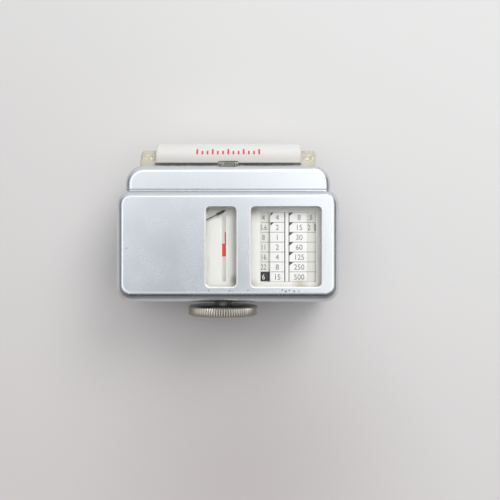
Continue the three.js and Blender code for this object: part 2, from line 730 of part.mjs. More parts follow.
// Clear front: a plastic capsule with a moulded honeycomb, holding the light cell in a black carrier
const chamberFrontY = capsuleY - cellSetback + runningGap;
function lensCapsule() {
  const barrel = rodX(capsuleRadius, -earReach, earReach, capsuleY, capsuleZ, barrelSides);
  const half = holderHalf + seatGap;
  const reach = cellHalfHeight + holderWall + seatGap;
  const chamber = block(-half, half, capsuleY - capsuleRadius - overrun, chamberFrontY,
    capsuleZ - reach, capsuleZ + reach);
  const fieldHalf = diffuserHalf - honeycombPitch / 2;
  const bandReach = capsuleRadius + overrun;
  const band = cut(
    rodX(bandReach, -fieldHalf, fieldHalf, capsuleY, capsuleZ, barrelSides),
    rodX(capsuleRadius - lensRecess, -fieldHalf - overrun, fieldHalf + overrun,
      capsuleY, capsuleZ, barrelSides),
    block(-fieldHalf - overrun, fieldHalf + overrun, capsuleY - bandReach - overrun, capsuleY,
      capsuleZ - bandReach - overrun, capsuleZ + bandReach + overrun),
  );
  const rowAngle = (honeycombPitch * Math.cos(Math.PI / 6)) / capsuleRadius;
  const columns = Math.floor((2 * fieldHalf) / honeycombPitch);
  const bumps = [];
  for (let row = -1; row <= 1; row += 1) {
    const shift = row % 2 ? honeycombPitch / 2 : 0;
    for (let column = 0; column < columns - (row % 2 ? 1 : 0); column += 1) {
      const x = (column - (columns - 1) / 2) * honeycombPitch + shift;
      const foot = (honeycombPitch - honeycombWall) / Math.sqrt(3);
      const bump = new THREE.CylinderGeometry(foot / 2, foot, 2 * lensRecess, 6);
      bump.translate(0, capsuleRadius - lensRecess, 0);
      bump.rotateX(row * rowAngle);
      bump.translate(x, capsuleY, capsuleZ);
      bumps.push(solid(bump));
    }
  }
  const skin = rodX(capsuleRadius, -fieldHalf, fieldHalf, capsuleY, capsuleZ, barrelSides);
  const field = joined(...bumps).intersect(skin);
  return joined(cut(barrel, chamber, band), field);
}
piece('lens_capsule', lensCapsule(), clearPlastic);

function cellHolder() {
  const reach = cellHalfHeight + holderWall;
  const barrel = rodX(capsuleRadius - seatGap, -holderHalf, holderHalf, capsuleY, capsuleZ, barrelSides);
  const slab = block(-holderHalf, holderHalf, capsuleY - capsuleRadius, chamberFrontY - seatGap,
    capsuleZ - reach, capsuleZ + reach);
  const pocket = block(-cellHalf - seatGap, cellHalf + seatGap,
    capsuleY - cellSetback - cellThickness - seatGap, chamberFrontY + overrun,
    capsuleZ - cellHalfHeight - seatGap, capsuleZ + cellHalfHeight + seatGap);
  const contacts = [-contactX, contactX].map((x) => (
    rodY(contactRadius + seatGap, capsuleY - capsuleRadius - overrun, capsuleY - cellSetback,
      x, contactZ, pinSides)));
  return cut(slab.intersect(barrel), pocket, ...contacts);
}
piece('cell_holder', cellHolder(), blackPlastic);
piece('selenium_cell', block(-cellHalf, cellHalf, capsuleY - cellSetback - cellThickness,
  capsuleY - cellSetback, capsuleZ - cellHalfHeight, capsuleZ + cellHalfHeight), cellGrey);

[['left', -contactX], ['right', contactX]].forEach(([side, x]) => {
  const headY = frontPlateRearY - seatGap - contactHead;
  const pin = rodY(contactRadius, headY, capsuleY - cellSetback - seatGap, x, contactZ, pinSides);
  const head = rodY(contactHeadRadius, headY, headY + contactHead, x, contactZ, pinSides);
  piece(`cell_contact_${side}`, joined(pin, head), brass);
});

// White diffuser: part of a barrel that turns up and back round the capsule
function diffuserShell() {
  const half = diffuserHalf;
  const outline = [[0, -half]];
  const edgeSteps = 3;
  for (const side of [-1, 1]) {
    for (let step = 0; step <= edgeSteps; step += 1) {
      const turn = side < 0 ? step : edgeSteps - step;
      const angle = (turn / edgeSteps) * (Math.PI / 2);
      outline.push([
        diffuserRadius - diffuserEdgeRadius * (1 - Math.sin(angle)),
        side * (half - diffuserEdgeRadius * (1 - Math.cos(angle))),
      ]);
    }
  }
  outline.push([0, half]);
  const profile = outline.map(([r, along]) => new THREE.Vector2(r, along));
  const turned = new THREE.LatheGeometry(profile, shellSides);
  turned.rotateZ(-Math.PI / 2);
  turned.translate(0, capsuleY, capsuleZ);
  const bore = rodX(capsuleRadius + runningGap, -half - overrun, half + overrun,
    capsuleY, capsuleZ, shellSides);
  const wedgeReach = 2 * diffuserRadius;
  const wedge = [[capsuleY, capsuleZ]];
  const arcSteps = 8;
  for (let step = 0; step <= arcSteps; step += 1) {
    const angle = THREE.MathUtils.degToRad(diffuserArc * (step / arcSteps - 1 / 2));
    wedge.push([capsuleY + wedgeReach * Math.cos(angle), capsuleZ + wedgeReach * Math.sin(angle)]);
  }
  const sector = profileX(wedge, -half - overrun, half + overrun);
  const shell = cut(solid(turned), bore).intersect(sector);
  const edgeAngle = THREE.MathUtils.degToRad(diffuserArc / 2);
  const notchY = capsuleY + diffuserRadius * Math.cos(edgeAngle);
  const notch = block(-notchWidth / 2, notchWidth / 2, notchY - diffuserRadius, notchY + diffuserNotchDepth,
    capsuleZ + capsuleRadius * Math.sin(edgeAngle), capsuleZ + diffuserRadius + overrun);
  return cut(shell, notch);
}
piece('diffuser_shell', diffuserShell(), whitePlastic);

// Setting wheel on its sleeve, turning in a flanged bush in the rear plate
const wheelInnerY = rearY - wheelGap;
const wheelOuterY = wheelInnerY - wheelThickness;
const recessFloorY = wheelOuterY + discThickness + runningGap;
function settingWheel() {
  const outline = [];
  for (let tooth = 0; tooth < knurlCount; tooth += 1) {
    for (const [share, radius] of [[0, wheelRadius], [1 / 2, wheelRadius - knurlDepth]]) {
      const angle = ((tooth + share) / knurlCount) * 2 * Math.PI;
      outline.push([wheelX + radius * Math.cos(angle), wheelZ + radius * Math.sin(angle)]);
    }
  }
  const knurled = profileY(outline, wheelOuterY, wheelInnerY);
  const crest = wheelRadius + knurlDepth;
  const blank = turnedY([
    [0, wheelOuterY],
    [wheelRadius - wheelBevel, wheelOuterY],
    [crest, wheelOuterY + wheelBevel + knurlDepth],
    [crest, wheelInnerY - wheelBevel - knurlDepth],
    [wheelRadius - wheelBevel, wheelInnerY],
    [0, wheelInnerY],
  ], wheelX, wheelZ, shellSides);
  const bore = rodY(sleeveRadius + seatGap, wheelOuterY - overrun, wheelInnerY + overrun,
    wheelX, wheelZ, sleeveSides);
  const recess = rodY(discRadius + runningGap, wheelOuterY - overrun, recessFloorY,
    wheelX, wheelZ, barrelSides);
  return cut(knurled.intersect(blank), bore, recess);
}
piece('setting_wheel', settingWheel(), satinChrome);

function tubeY(outer, inner, y0, y1, x, z) {
  return cut(rodY(outer, y0, y1, x, z, sleeveSides),
    rodY(inner, y0 - overrun, y1 + overrun, x, z, sleeveSides));
}
piece('wheel_sleeve', tubeY(sleeveRadius, indexShaftRadius + runningGap,
  recessFloorY - seatGap / 2, gearFrontY, wheelX, wheelZ), darkSteel);

const bushBore = sleeveRadius + runningGap;
const bush = tubeY(bushRadius, bushBore, rearY + seatGap, rearPlateFrontY, wheelX, wheelZ);
const flangeFrontY = rearPlateRearY - seatGap;
const flange = tubeY(bushFlange, bushBore, flangeFrontY - bushFlangeThickness, flangeFrontY,
  wheelX, wheelZ);
piece('wheel_bush', joined(bush, flange), darkSteel);

// Involute gear about the Y direction, with one tooth centred on the given angle in X and Z
function gear(teeth, pitchRadius, firstTooth, bore, x, z) {
  const pressure = THREE.MathUtils.degToRad(pressureAngle);
  const base = pitchRadius * Math.cos(pressure);
  const tip = pitchRadius + gearModule * toothShares.addendum;
  const root = pitchRadius - gearModule * toothShares.dedendum;
  const involute = (radius) => {
    const angle = Math.acos(Math.min(1, base / radius));
    return Math.tan(angle) - angle;
  };
  const halfAtPitch = Math.PI / (2 * teeth) - backlash / (2 * pitchRadius);
  const flank = [Math.max(base, root), tip].map((radius) => (
    [radius, halfAtPitch + involute(pitchRadius) - involute(radius)]));
  const side = [[root, flank[0][1]], ...flank];
  const outline = [];
  for (let tooth = 0; tooth < teeth; tooth += 1) {
    const centre = firstTooth + (tooth / teeth) * 2 * Math.PI;
    for (const [radius, half] of side) {
      outline.push([x + radius * Math.cos(centre - half), z + radius * Math.sin(centre - half)]);
    }
    for (const [radius, half] of [...side].reverse()) {
      outline.push([x + radius * Math.cos(centre + half), z + radius * Math.sin(centre + half)]);
    }
  }
  return cut(profileY(outline, gearRearY, gearFrontY),
    rodY(bore, gearRearY - overrun, gearFrontY + overrun, x, z, shaftSides));
}

// Angle of a tooth on the second gear that lets it mesh with the first
function meshAngle(firstTooth, firstTeeth, lineAngle, secondTeeth) {
  const offset = firstTooth - lineAngle;
  return lineAngle + Math.PI - (offset * firstTeeth) / secondTeeth + Math.PI / secondTeeth;
}
const wheelToothAngle = drumRestAngle;
const leftToothAngle = meshAngle(wheelToothAngle, wheelTeeth, drumRestAngle, drumTeeth);
const toIdler = Math.atan2(idlerZ - drumZ, idlerX - leftSlotX);
const idlerToothAngle = meshAngle(leftToothAngle, drumTeeth, toIdler, idlerTeeth);
const fromIdler = Math.atan2(drumZ - idlerZ, rightSlotX - idlerX);
const rightToothAngle = meshAngle(idlerToothAngle, idlerTeeth, fromIdler, drumTeeth);
piece('wheel_gear', gear(wheelTeeth, wheelPitchRadius, wheelToothAngle,
  sleeveRadius + seatGap, wheelX, wheelZ), brass);
piece('idler_gear', gear(idlerTeeth, idlerPitchRadius, idlerToothAngle,
  idlerPinRadius + runningGap, idlerX, idlerZ), brass);
const idlerPin = rodY(idlerPinRadius, rearPlateRearY, frontPlateFrontY, idlerX, idlerZ, shaftSides);
const pinCollar = rodY(idlerPinRadius + runningGap + seatGap, gearFrontY + runningGap,
  drumRearY + gearThickness, idlerX, idlerZ, shaftSides);
piece('idler_pin', joined(idlerPin, pinCollar), brightSteel);

// Drums: the index drum under the needle, and two exposure drums under the table window
function drum(radius, shaftRadius, x, z) {
  const body = rodY(radius, drumRearY, drumFrontY, x, z, barrelSides);
  const hollow = rodY(radius - drumWall, drumRearY + drumWall, drumFrontY + overrun, x, z, sleeveSides);
  const hub = rodY(shaftRadius + drumWall, drumRearY, drumFrontY, x, z, shaftSides);
  const bore = rodY(shaftRadius + seatGap, drumRearY - overrun, drumFrontY + overrun, x, z, shaftSides);
  return cut(joined(cut(body, hollow), hub), bore);
}
piece('index_drum', drum(indexDrumRadius, indexShaftRadius, wheelX, wheelZ), whitePlastic);
piece('index_shaft', rodY(indexShaftRadius, wheelOuterY + discThickness + seatGap, frontPlateFrontY,
  wheelX, wheelZ, shaftSides), brightSteel);

const discOuterY = wheelOuterY + seatGap / 2;
const disc = rodY(discRadius, discOuterY, wheelOuterY + discThickness, wheelX, wheelZ, barrelSides);
const coinSlot = block(wheelX - coinSlotWidth / 2, wheelX + coinSlotWidth / 2, discOuterY - overrun,
  discOuterY + coinSlotDepth, wheelZ - discRadius - overrun, wheelZ + discRadius + overrun);
piece('film_speed_disc', cut(disc, coinSlot), darkSteel);

const tableDrums = [['left', leftSlotX, leftToothAngle], ['right', rightSlotX, rightToothAngle]];
tableDrums.forEach(([side, x, angle]) => {
  const shaftHole = tableShaftRadius + seatGap;
  piece(`${side}_table_drum`, drum(tableDrumRadius, tableShaftRadius, x, drumZ), whitePlastic);
  piece(`${side}_table_gear`, gear(drumTeeth, drumPitchRadius, angle, shaftHole, x, drumZ), brass);
  piece(`${side}_table_shaft`, rodY(tableShaftRadius, rearPlateRearY, frontPlateFrontY,
    x, drumZ, shaftSides), brightSteel);
});

// Moving-coil movement, standing on the bottom plate at the left
const bridgeLowZ = floorZ + seatGap;
const bridgeLowTopZ = bridgeLowZ + bridgeThickness;
const ringLowZ = bridgeLowTopZ + springRoom + seatGap;
const bridgeHighTopZ = dialBottomZ - bridgeDrop;
const bridgeHighZ = bridgeHighTopZ - bridgeThickness;
const ringTopZ = bridgeHighZ - springRoom - seatGap;
const coreLowZ = ringLowZ + coreInset;
const coreTopZ = ringTopZ - coreInset;

piece('return_ring', cut(rodZ(ringRadius, ringLowZ, ringTopZ, pivotX, pivotY, barrelSides),
  rodZ(ringBore, ringLowZ - overrun, ringTopZ + overrun, pivotX, pivotY, barrelSides)), darkSteel);
piece('core_magnet', rodZ(coreRadius, coreLowZ, coreTopZ, pivotX, pivotY, barrelSides), brightSteel);

// Two brass distance pieces hold the core magnet in the ring, clear of the coil's swing
[['left', -1], ['right', 1]].forEach(([side, way]) => {
  const near = coreRadius + seatGap;
  const far = ringBore - seatGap;
  const middle = (coreLowZ + coreTopZ) / 2;
  const reach = ((coreTopZ - coreLowZ) * spacerShares.height) / 2;
  const x0 = pivotX + Math.min(way * near, way * far);
  const spacer = block(x0, x0 + far - near, pivotY - spacerWidth / 2, pivotY + spacerWidth / 2,
    middle - reach, middle + reach);
  piece(`core_spacer_${side}`, spacer, brass);
});

// A bridge spans the ring from front to rear, on a foot at either end, with a jewel bearing in its middle
function bridge(z0, footZ) {
  const half = bridgeWidth / 2;
  const bar = block(pivotX - half, pivotX + half, pivotY - ringRadius, pivotY + ringRadius,
    z0, z0 + bridgeThickness);
  const footLow = Math.min(footZ, z0 + bridgeThickness / 2);
  const footHigh = Math.max(footZ, z0 + bridgeThickness / 2);
  const feet = [-1, 1].map((way) => {
    const outer = pivotY + way * ringRadius;
    const inner = pivotY + way * (ringBore + seatGap);
    return block(pivotX - half, pivotX + half, Math.min(inner, outer), Math.max(inner, outer),
      footLow, footHigh);
  });
  const jewel = rodZ(jewelRadius + seatGap, z0 - overrun, z0 + bridgeThickness + overrun,
    pivotX, pivotY, headSides);
  return cut(joined(bar, ...feet), jewel);
}
piece('lower_bridge', bridge(bridgeLowZ, ringLowZ - seatGap), aluminium);
piece('upper_bridge', bridge(bridgeHighZ, ringTopZ + seatGap), aluminium);

[['lower', bridgeLowZ], ['upper', bridgeHighZ]].forEach(([level, z]) => {
  piece(`${level}_jewel`, cut(rodZ(jewelRadius, z, z + bridgeThickness, pivotX, pivotY, headSides),
    rodZ(staffRadius + seatGap, z - overrun, z + bridgeThickness + overrun,
      pivotX, pivotY, pinSides)), ruby);
});

// Moving coil: a light former with its winding, on two staffs
const coil = new THREE.Group();
coil.position.set(pivotX, pivotY, 0);
coil.rotation.z = restAngle;
meter.add(coil);
const windowLowZ = coreLowZ - runningGap;
const windowTopZ = coreTopZ + runningGap;
const coilLowZ = windowLowZ - coilLegWidth;
const coilTopZ = windowTopZ + coilLegWidth;

function coilLoop(inner, outer, depth) {
  const half = depth / 2;
  const outerLoop = block(-half, half, -coilInner - outer, coilInner + outer,
    windowLowZ - outer, windowTopZ + outer);
  return cut(outerLoop, block(-half - overrun, half + overrun, -coilInner - inner, coilInner + inner,
    windowLowZ - inner, windowTopZ + inner));
}
const innerLoop = coilLoop(0, formerWall, coilDepth);
const outerWinding = coilLoop(formerWall + seatGap / 2, coilLegWidth, coilDepth - 2 * formerWall);
piece('coil_former', innerLoop, aluminium, coil);
piece('coil_winding', outerWinding, copper, coil);

// Needle: a hub above the coil, an arm over the ring, a crank up past the dial plate, and the blade
const needleZ = dialTopZ + needleLift;
const armZ = ringTopZ + runningGap;
const armTopZ = armZ + needleThickness;
function needle() {
  const hub = rodZ(needleHubRadius, coilTopZ + seatGap, armTopZ, 0, 0, shaftSides);
  const half = needleWidth / 2;
  const tail = coreRadius - needleTailInset;
  const arm = block(-tail, crankRadius, -half, half, armZ, armTopZ);
  const weight = block(-tail - needleWidth, -tail + needleWidth, -weightHalf, weightHalf,
    armZ, armTopZ + needleThickness);
  const crank = block(crankRadius - needleWidth, crankRadius, -half, half, armZ, needleZ + needleThickness);
  const tipStart = needleLength - needleTipLength;
  const tipEnd = needleLength - needlePoint;
  const blade = new THREE.Shape([
    new THREE.Vector2(crankRadius - needleWidth, -half), new THREE.Vector2(tipStart, -half / 2),
    new THREE.Vector2(tipStart, -needleTipWidth / 2), new THREE.Vector2(tipEnd, -needleTipWidth / 2),
    new THREE.Vector2(needleLength, -half / 2), new THREE.Vector2(needleLength, half / 2),
    new THREE.Vector2(tipEnd, needleTipWidth / 2), new THREE.Vector2(tipStart, needleTipWidth / 2),
    new THREE.Vector2(tipStart, half / 2), new THREE.Vector2(crankRadius - needleWidth, half),
  ]);
  const flat = new THREE.ExtrudeGeometry(blade, { depth: needleThickness, bevelEnabled: false });
  flat.translate(0, 0, needleZ);
  const bore = rodZ(staffRadius + seatGap / 2, coilTopZ - overrun, armTopZ + overrun, 0, 0, shaftSides);
  return cut(joined(hub, arm, weight, crank, solid(flat)), bore);
}
piece('needle', needle(), blackPlastic, coil);
piece('upper_staff', rodZ(staffRadius, coilTopZ + seatGap / 2, bridgeHighTopZ - seatGap,
  0, 0, shaftSides), brightSteel, coil);
piece('lower_staff', rodZ(staffRadius, bridgeLowZ + seatGap, coilLowZ - seatGap / 2,
  0, 0, shaftSides), brightSteel, coil);

// Spiral springs above and below the coil, each a square wire wound outwards from the staff
function hairspring(z) {
  const steps = springTurns * springSteps;
  const startRadius = staffRadius + runningGap + springWidth;
  const growth = (ringBore * springShares.end - startRadius) / steps;
  const inner = [];
  const outer = [];
  for (let step = 0; step <= steps; step += 1) {
    const angle = (step / springSteps) * 2 * Math.PI;
    const radius = startRadius + growth * step;
    const direction = new THREE.Vector2(Math.cos(angle), Math.sin(angle));
    inner.push(direction.clone().multiplyScalar(radius - springWidth / 2));
    outer.push(direction.clone().multiplyScalar(radius + springWidth / 2));
  }
  const shape = new THREE.Shape([...outer, ...inner.reverse()]);
  const wire = new THREE.ExtrudeGeometry(shape, { depth: springHeight, bevelEnabled: false });
  wire.translate(pivotX, pivotY, z);
  return solid(wire);
}
piece('upper_hairspring', hairspring(bridgeHighZ - runningGap - springHeight), brass);
piece('lower_hairspring', hairspring(bridgeLowTopZ + runningGap), brass);

// Zero adjuster on the upper bridge, and the resistor that trims the reading
const adjusterZ = bridgeHighTopZ + seatGap;
const adjuster = joined(
  rodZ(adjusterRadius, adjusterZ, adjusterZ + needleThickness, pivotX, pivotY, headSides),
  block(pivotX - coreRadius, pivotX, pivotY - jewelRadius / 2, pivotY + jewelRadius / 2,
    adjusterZ, adjusterZ + needleThickness),
);
piece('zero_adjuster', cut(adjuster, rodZ(staffRadius + seatGap, adjusterZ - overrun, adjusterZ + overrun,
  pivotX, pivotY, pinSides)), brass);
const resistorY = rearPlateFrontY + seatGap + resistorRadius;
const resistorX = pivotX + bridgeWidth / 2 + runningGap;
const resistorZ = floorZ + seatGap + resistorRadius;
piece('calibration_resistor', rodX(resistorRadius, resistorX, resistorX + resistorLength,
  resistorY, resistorZ, sleeveSides), copper);

export default meter;
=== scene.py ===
# Shoe mount light meter: finishes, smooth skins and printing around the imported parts.
import json
from math import cos, degrees, pi, radians, sin, tan
import bmesh
import bpy
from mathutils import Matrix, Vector


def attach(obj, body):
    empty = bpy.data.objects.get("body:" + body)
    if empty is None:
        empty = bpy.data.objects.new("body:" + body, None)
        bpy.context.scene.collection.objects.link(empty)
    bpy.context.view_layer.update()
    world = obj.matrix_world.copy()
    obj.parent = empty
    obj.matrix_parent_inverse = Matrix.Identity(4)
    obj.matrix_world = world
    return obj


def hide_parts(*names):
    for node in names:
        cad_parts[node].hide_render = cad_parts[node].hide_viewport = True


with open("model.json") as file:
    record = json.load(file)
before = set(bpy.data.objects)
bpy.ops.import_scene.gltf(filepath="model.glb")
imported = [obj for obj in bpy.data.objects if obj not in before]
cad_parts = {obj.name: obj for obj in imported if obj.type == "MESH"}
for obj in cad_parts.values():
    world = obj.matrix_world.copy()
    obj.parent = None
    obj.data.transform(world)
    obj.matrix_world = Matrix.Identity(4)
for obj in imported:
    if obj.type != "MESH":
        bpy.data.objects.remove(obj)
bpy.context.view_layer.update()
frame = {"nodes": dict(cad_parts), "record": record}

nodes = frame["nodes"]
mm = 0.001
print("frame loaded:", len(nodes), "parts")


# Meshes: every length is in millimetres until meshFrom scales it

def placed(name, data):
    thing = bpy.data.objects.new(name, data)
    bpy.context.scene.collection.objects.link(thing)
    return thing


def newObject(name, mesh, material, body):
    mesh.materials.clear()
    mesh.materials.append(material)
    piece = placed(name, mesh)
    if body:
        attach(piece, body)
    return piece


def meshFrom(points, faces, name="shape", unit=mm):
    mesh = bpy.data.meshes.new(name)
    mesh.from_pydata([tuple(v * unit for v in p) for p in points], [], faces)
    mesh.validate()
    return mesh


def evaluated(thing):
    graph = bpy.context.evaluated_depsgraph_get()
    return bpy.data.meshes.new_from_object(thing.evaluated_get(graph))


def edited(mesh, change):
    shape = bmesh.new()
    shape.from_mesh(mesh)
    change(shape)
    shape.to_mesh(mesh)
    shape.free()
    return mesh


def faceOut(shape):
    bmesh.ops.recalc_face_normals(shape, faces=shape.faces)


def smoothBy(mesh, sharpFrom):
    mesh.shade_smooth()
    mesh.set_sharp_from_angle(angle=radians(sharpFrom))


def rolled(steps, first=0):
    # an edge rolled over by 90 degrees: its reach inward and its rise at each step, as shares of 1
    angles = [radians(90 * step / steps) for step in range(first, steps + 1)]
    return [(1 - cos(angle), sin(angle)) for angle in angles]


def roundedRing(x0, x1, y0, y1, radius, inset, z, steps=10):
    # a rounded rectangle, drawn in by inset
    corners = [(x1, y0, -1, 1, -90), (x1, y1, -1, -1, 0), (x0, y1, 1, -1, 90), (x0, y0, 1, 1, 180)]
    reach = radius - inset
    ring = []
    for x, y, sx, sy, start in corners:
        for step in range(steps + 1):
            angle = radians(start + 90 * step / steps)
            ring.append((x + sx * radius + reach * cos(angle),
                         y + sy * radius + reach * sin(angle), z))
    return ring


def loft(rings):
    # a closed skin through a stack of rings, lowest first
    count = len(rings[0])
    faces = []
    for level in range(len(rings) - 1):
        low = level * count
        for i in range(count):
            j = (i + 1) % count
            faces.append((low + i, low + j, low + count + j, low + count + i))
    faces.append(tuple(range(count - 1, -1, -1)))
    faces.append(tuple((len(rings) - 1) * count + i for i in range(count)))
    return meshFrom([p for ring in rings for p in ring], faces)


def turned(profile, axis, centre, sides=96, start=0, sweep=360):
    # (radius, along) pairs turned about the X or Y direction through centre; a part turn is closed
    whole = sweep >= 360
    turns = sides if whole else sides + 1
    size = len(profile)
    points, faces = [], []
    for turn in range(turns):
        angle = radians(start + sweep * turn / sides)
        for radius, along in profile:
            across, up = radius * cos(angle), radius * sin(angle)
            spot = (along, across, up) if axis == "X" else (across, along, up)
            points.append(tuple(a + b for a, b in zip(spot, centre)))
    for turn in range(turns if whole else turns - 1):
        here, after = turn * size, (turn + 1) % turns * size
        for i in range(size):
            j = (i + 1) % size
            faces.append((here + i, after + i, after + j, here + j))
    if not whole:
        faces.append(tuple(range(size)))
        faces.append(tuple((turns - 1) * size + i for i in range(size - 1, -1, -1)))

    def clean(shape):
        bmesh.ops.remove_doubles(shape, verts=shape.verts, dist=1e-7)
        bmesh.ops.dissolve_degenerate(shape, edges=shape.edges, dist=1e-8)
        faceOut(shape)
    return edited(meshFrom(points, faces), clean)


def boxMesh(x0, x1, y0, y1, z0, z1):
    return loft([[(x0, y0, z), (x1, y0, z), (x1, y1, z), (x0, y1, z)] for z in (z0, z1)])


def rod(radius, start, end, axis, centre, sides=64):
    return turned([(0, start), (radius, start), (radius, end), (0, end)], axis, centre, sides)


def combine(mesh, tools, operation="DIFFERENCE"):
    # cuts away or adds each tool mesh, and gives the result
    base = placed("work", mesh)
    helpers = [placed("tool", tool) for tool in tools]
    for helper in helpers:
        change = base.modifiers.new("cut", "BOOLEAN")
        change.operation = operation
        change.solver = "EXACT"
        change.object = helper
    done = evaluated(base)
    for extra in [base] + helpers:
        bpy.data.objects.remove(extra)
    return done


weldReach, flatAngle, bevelFrom = 2e-6, radians(0.5), radians(40)


def tidyMesh(mesh, bevel=0, sharpFrom=32):
    # welds and flattens after cutting, breaks sharp edges if asked, and sets the shading
    def clean(shape):
        bmesh.ops.remove_doubles(shape, verts=shape.verts, dist=weldReach)
        bmesh.ops.dissolve_limit(shape, angle_limit=flatAngle, verts=shape.verts, edges=shape.edges)
        if bevel:
            sharp = [e for e in shape.edges if e.is_manifold and e.calc_face_angle(0) > bevelFrom]
            bmesh.ops.bevel(shape, geom=sharp, offset=bevel * mm, segments=2, affect="EDGES",
                            clamp_overlap=True)
    smoothBy(edited(mesh, clean), sharpFrom)
    return mesh


# Printing: plain numbers and bars as thin solids a hair above their surface

capHeight = 0.729  # of the built-in lettering, at size 1
inkThickness = 0.012
layer = 0.014  # from one coat of ink to the next


def textMesh(words, height, width):
    # the outline of the words in the XY plane, centred, with capitals of this height
    curve = bpy.data.curves.new("words", "FONT")
    curve.body = words
    curve.size = 1
    curve.align_x = "CENTER"
    curve.resolution_u = 4
    maker = placed("words", curve)
    mesh = evaluated(maker)
    bpy.data.objects.remove(maker)
    scale = height / capHeight
    for vertex in mesh.vertices:
        vertex.co = Vector((vertex.co.x * scale * width, (vertex.co.y - capHeight / 2) * scale, 0))
    return mesh


def rectangle(x0, x1, y0, y1, cellsAcross=1):
    # a flat rectangle in the XY plane, split across so that it can be wrapped
    step = cellsAcross + 1
    points = [(x0 + (x1 - x0) * i / cellsAcross, y, 0) for y in (y0, y1) for i in range(step)]
    return meshFrom(points, [(i, i + 1, i + 1 + step, i + step) for i in range(cellsAcross)], unit=1)


def gather(target, mesh, place):
    # adds a mesh to lists of points and faces, moved by place, a function of a point
    base = len(target[0])
    target[0].extend(place(v.co) for v in mesh.vertices)
    target[1].extend(tuple(base + i for i in p.vertices) for p in mesh.polygons)


def printed(name, gathered, material, body, thickness=inkThickness):
    piece = newObject(name, meshFrom(*gathered, name), material, body)
    solid = piece.modifiers.new("ink", "SOLIDIFY")
    solid.thickness = thickness * mm
    solid.offset = 1


# Shader groups: masks, values and heights that several finishes share

def newGroup(name, inputs, *outputs):
    # gives the group, the sockets it is given and the sockets it makes
    group = bpy.data.node_groups.new(name, "ShaderNodeTree")
    for label, value in inputs.items():
        kind = "NodeSocketVector" if isinstance(value, tuple) else "NodeSocketFloat"
        group.interface.new_socket(name=label, in_out="INPUT", socket_type=kind).default_value = value
    for label in outputs:
        group.interface.new_socket(name=label, in_out="OUTPUT", socket_type="NodeSocketFloat")
    return group, group.nodes.new("NodeGroupInput").outputs, group.nodes.new("NodeGroupOutput").inputs


def addNode(tree, kind, **values):
    node = tree.nodes.new("ShaderNode" + kind)
    for name, value in values.items():
        setattr(node, name, value)
    return node


def feed(tree, socket, source):
    # a socket takes another node's output or a fixed value
    if isinstance(source, bpy.types.NodeSocket):
        tree.links.new(source, socket)
    else:
        socket.default_value = source


def mathNode(tree, operation, first, second, third=None, clamp=False):
    node = addNode(tree, "Math", operation=operation, use_clamp=clamp)
    for i, source in enumerate((first, second, third)):
        if source is not None:
            feed(tree, node.inputs[i], source)
    return node.outputs[0]


def vectorNode(tree, operation, first, second, output="Value"):
    node = addNode(tree, "VectorMath", operation=operation)
    feed(tree, node.inputs[0], first)
    feed(tree, node.inputs[1], second)
    return node.outputs[output]


def smoothRange(tree, value, start, end, kind="SMOOTHSTEP"):
    node = addNode(tree, "MapRange", interpolation_type=kind)
    node.inputs["From Min"].default_value = start
    node.inputs["From Max"].default_value = end
    tree.links.new(value, node.inputs["Value"])
    return node.outputs[0]


def noiseNode(tree, scale, vector, detail, rough):
    node = addNode(tree, "TexNoise")
    sources = {"Scale": scale, "Detail": detail, "Roughness": rough, "Vector": vector}
    for label, source in sources.items():
        feed(tree, node.inputs[label], source)
    return node.outputs[0]


def objectPlace(tree):
    return addNode(tree, "TexCoord").outputs["Object"]


def brokenUp(tree, where, scale, detailRough, amount):
    # noise about zero, to break up the edge of a mask
    noise = noiseNode(tree, scale, where, detail=4, rough=detailRough)
    return mathNode(tree, "MULTIPLY", mathNode(tree, "SUBTRACT", noise, 0.5), amount)


def fineGrainGroup():
    # satin grain: fine even speckle with slow clouds over it
    tree, given, made = newGroup("fineGrain", {"Grain Scale": 9000, "Cloud Scale": 90}, "Grain", "Clouds")
    where = objectPlace(tree)
    feed(tree, made["Grain"], noiseNode(tree, given["Grain Scale"], where, detail=2, rough=0.6))
    feed(tree, made["Clouds"], noiseNode(tree, given["Cloud Scale"], where, detail=4, rough=0.55))
    return tree


def edgeWearGroup():
    # edges that hands have rubbed: sharp outer edges, broken up by noise
    tree, given, made = newGroup("edgeWear", {"Start": 0.52, "Softness": 0.06, "Breakup Scale": 900}, "Worn")
    point = addNode(tree, "NewGeometry").outputs["Pointiness"]
    broken = brokenUp(tree, objectPlace(tree), given["Breakup Scale"], 0.6, 0.08)
    above = mathNode(tree, "SUBTRACT", mathNode(tree, "ADD", point, broken), given["Start"])
    feed(tree, made["Worn"], mathNode(tree, "DIVIDE", above, given["Softness"], clamp=True))
    return tree


def specksGroup():
    # loose specks of dust and old dirt, each a small uneven dot
    tree, given, made = newGroup("specks", {"Speck Scale": 700, "Speck Size": 0.16, "Keep": 0.7}, "Specks")
    cells = addNode(tree, "TexVoronoi")
    cells.inputs["Randomness"].default_value = 1
    feed(tree, cells.inputs["Scale"], given["Speck Scale"])
    feed(tree, cells.inputs["Vector"], objectPlace(tree))
    shade = addNode(tree, "SeparateColor")
    feed(tree, shade.inputs[0], cells.outputs["Color"])
    reach = mathNode(tree, "MULTIPLY", given["Speck Size"], shade.outputs[0])
    near = mathNode(tree, "LESS_THAN", cells.outputs["Distance"], reach)
    kept = mathNode(tree, "GREATER_THAN", shade.outputs[1], given["Keep"])
    feed(tree, made["Specks"], mathNode(tree, "MULTIPLY", near, kept))
    return tree


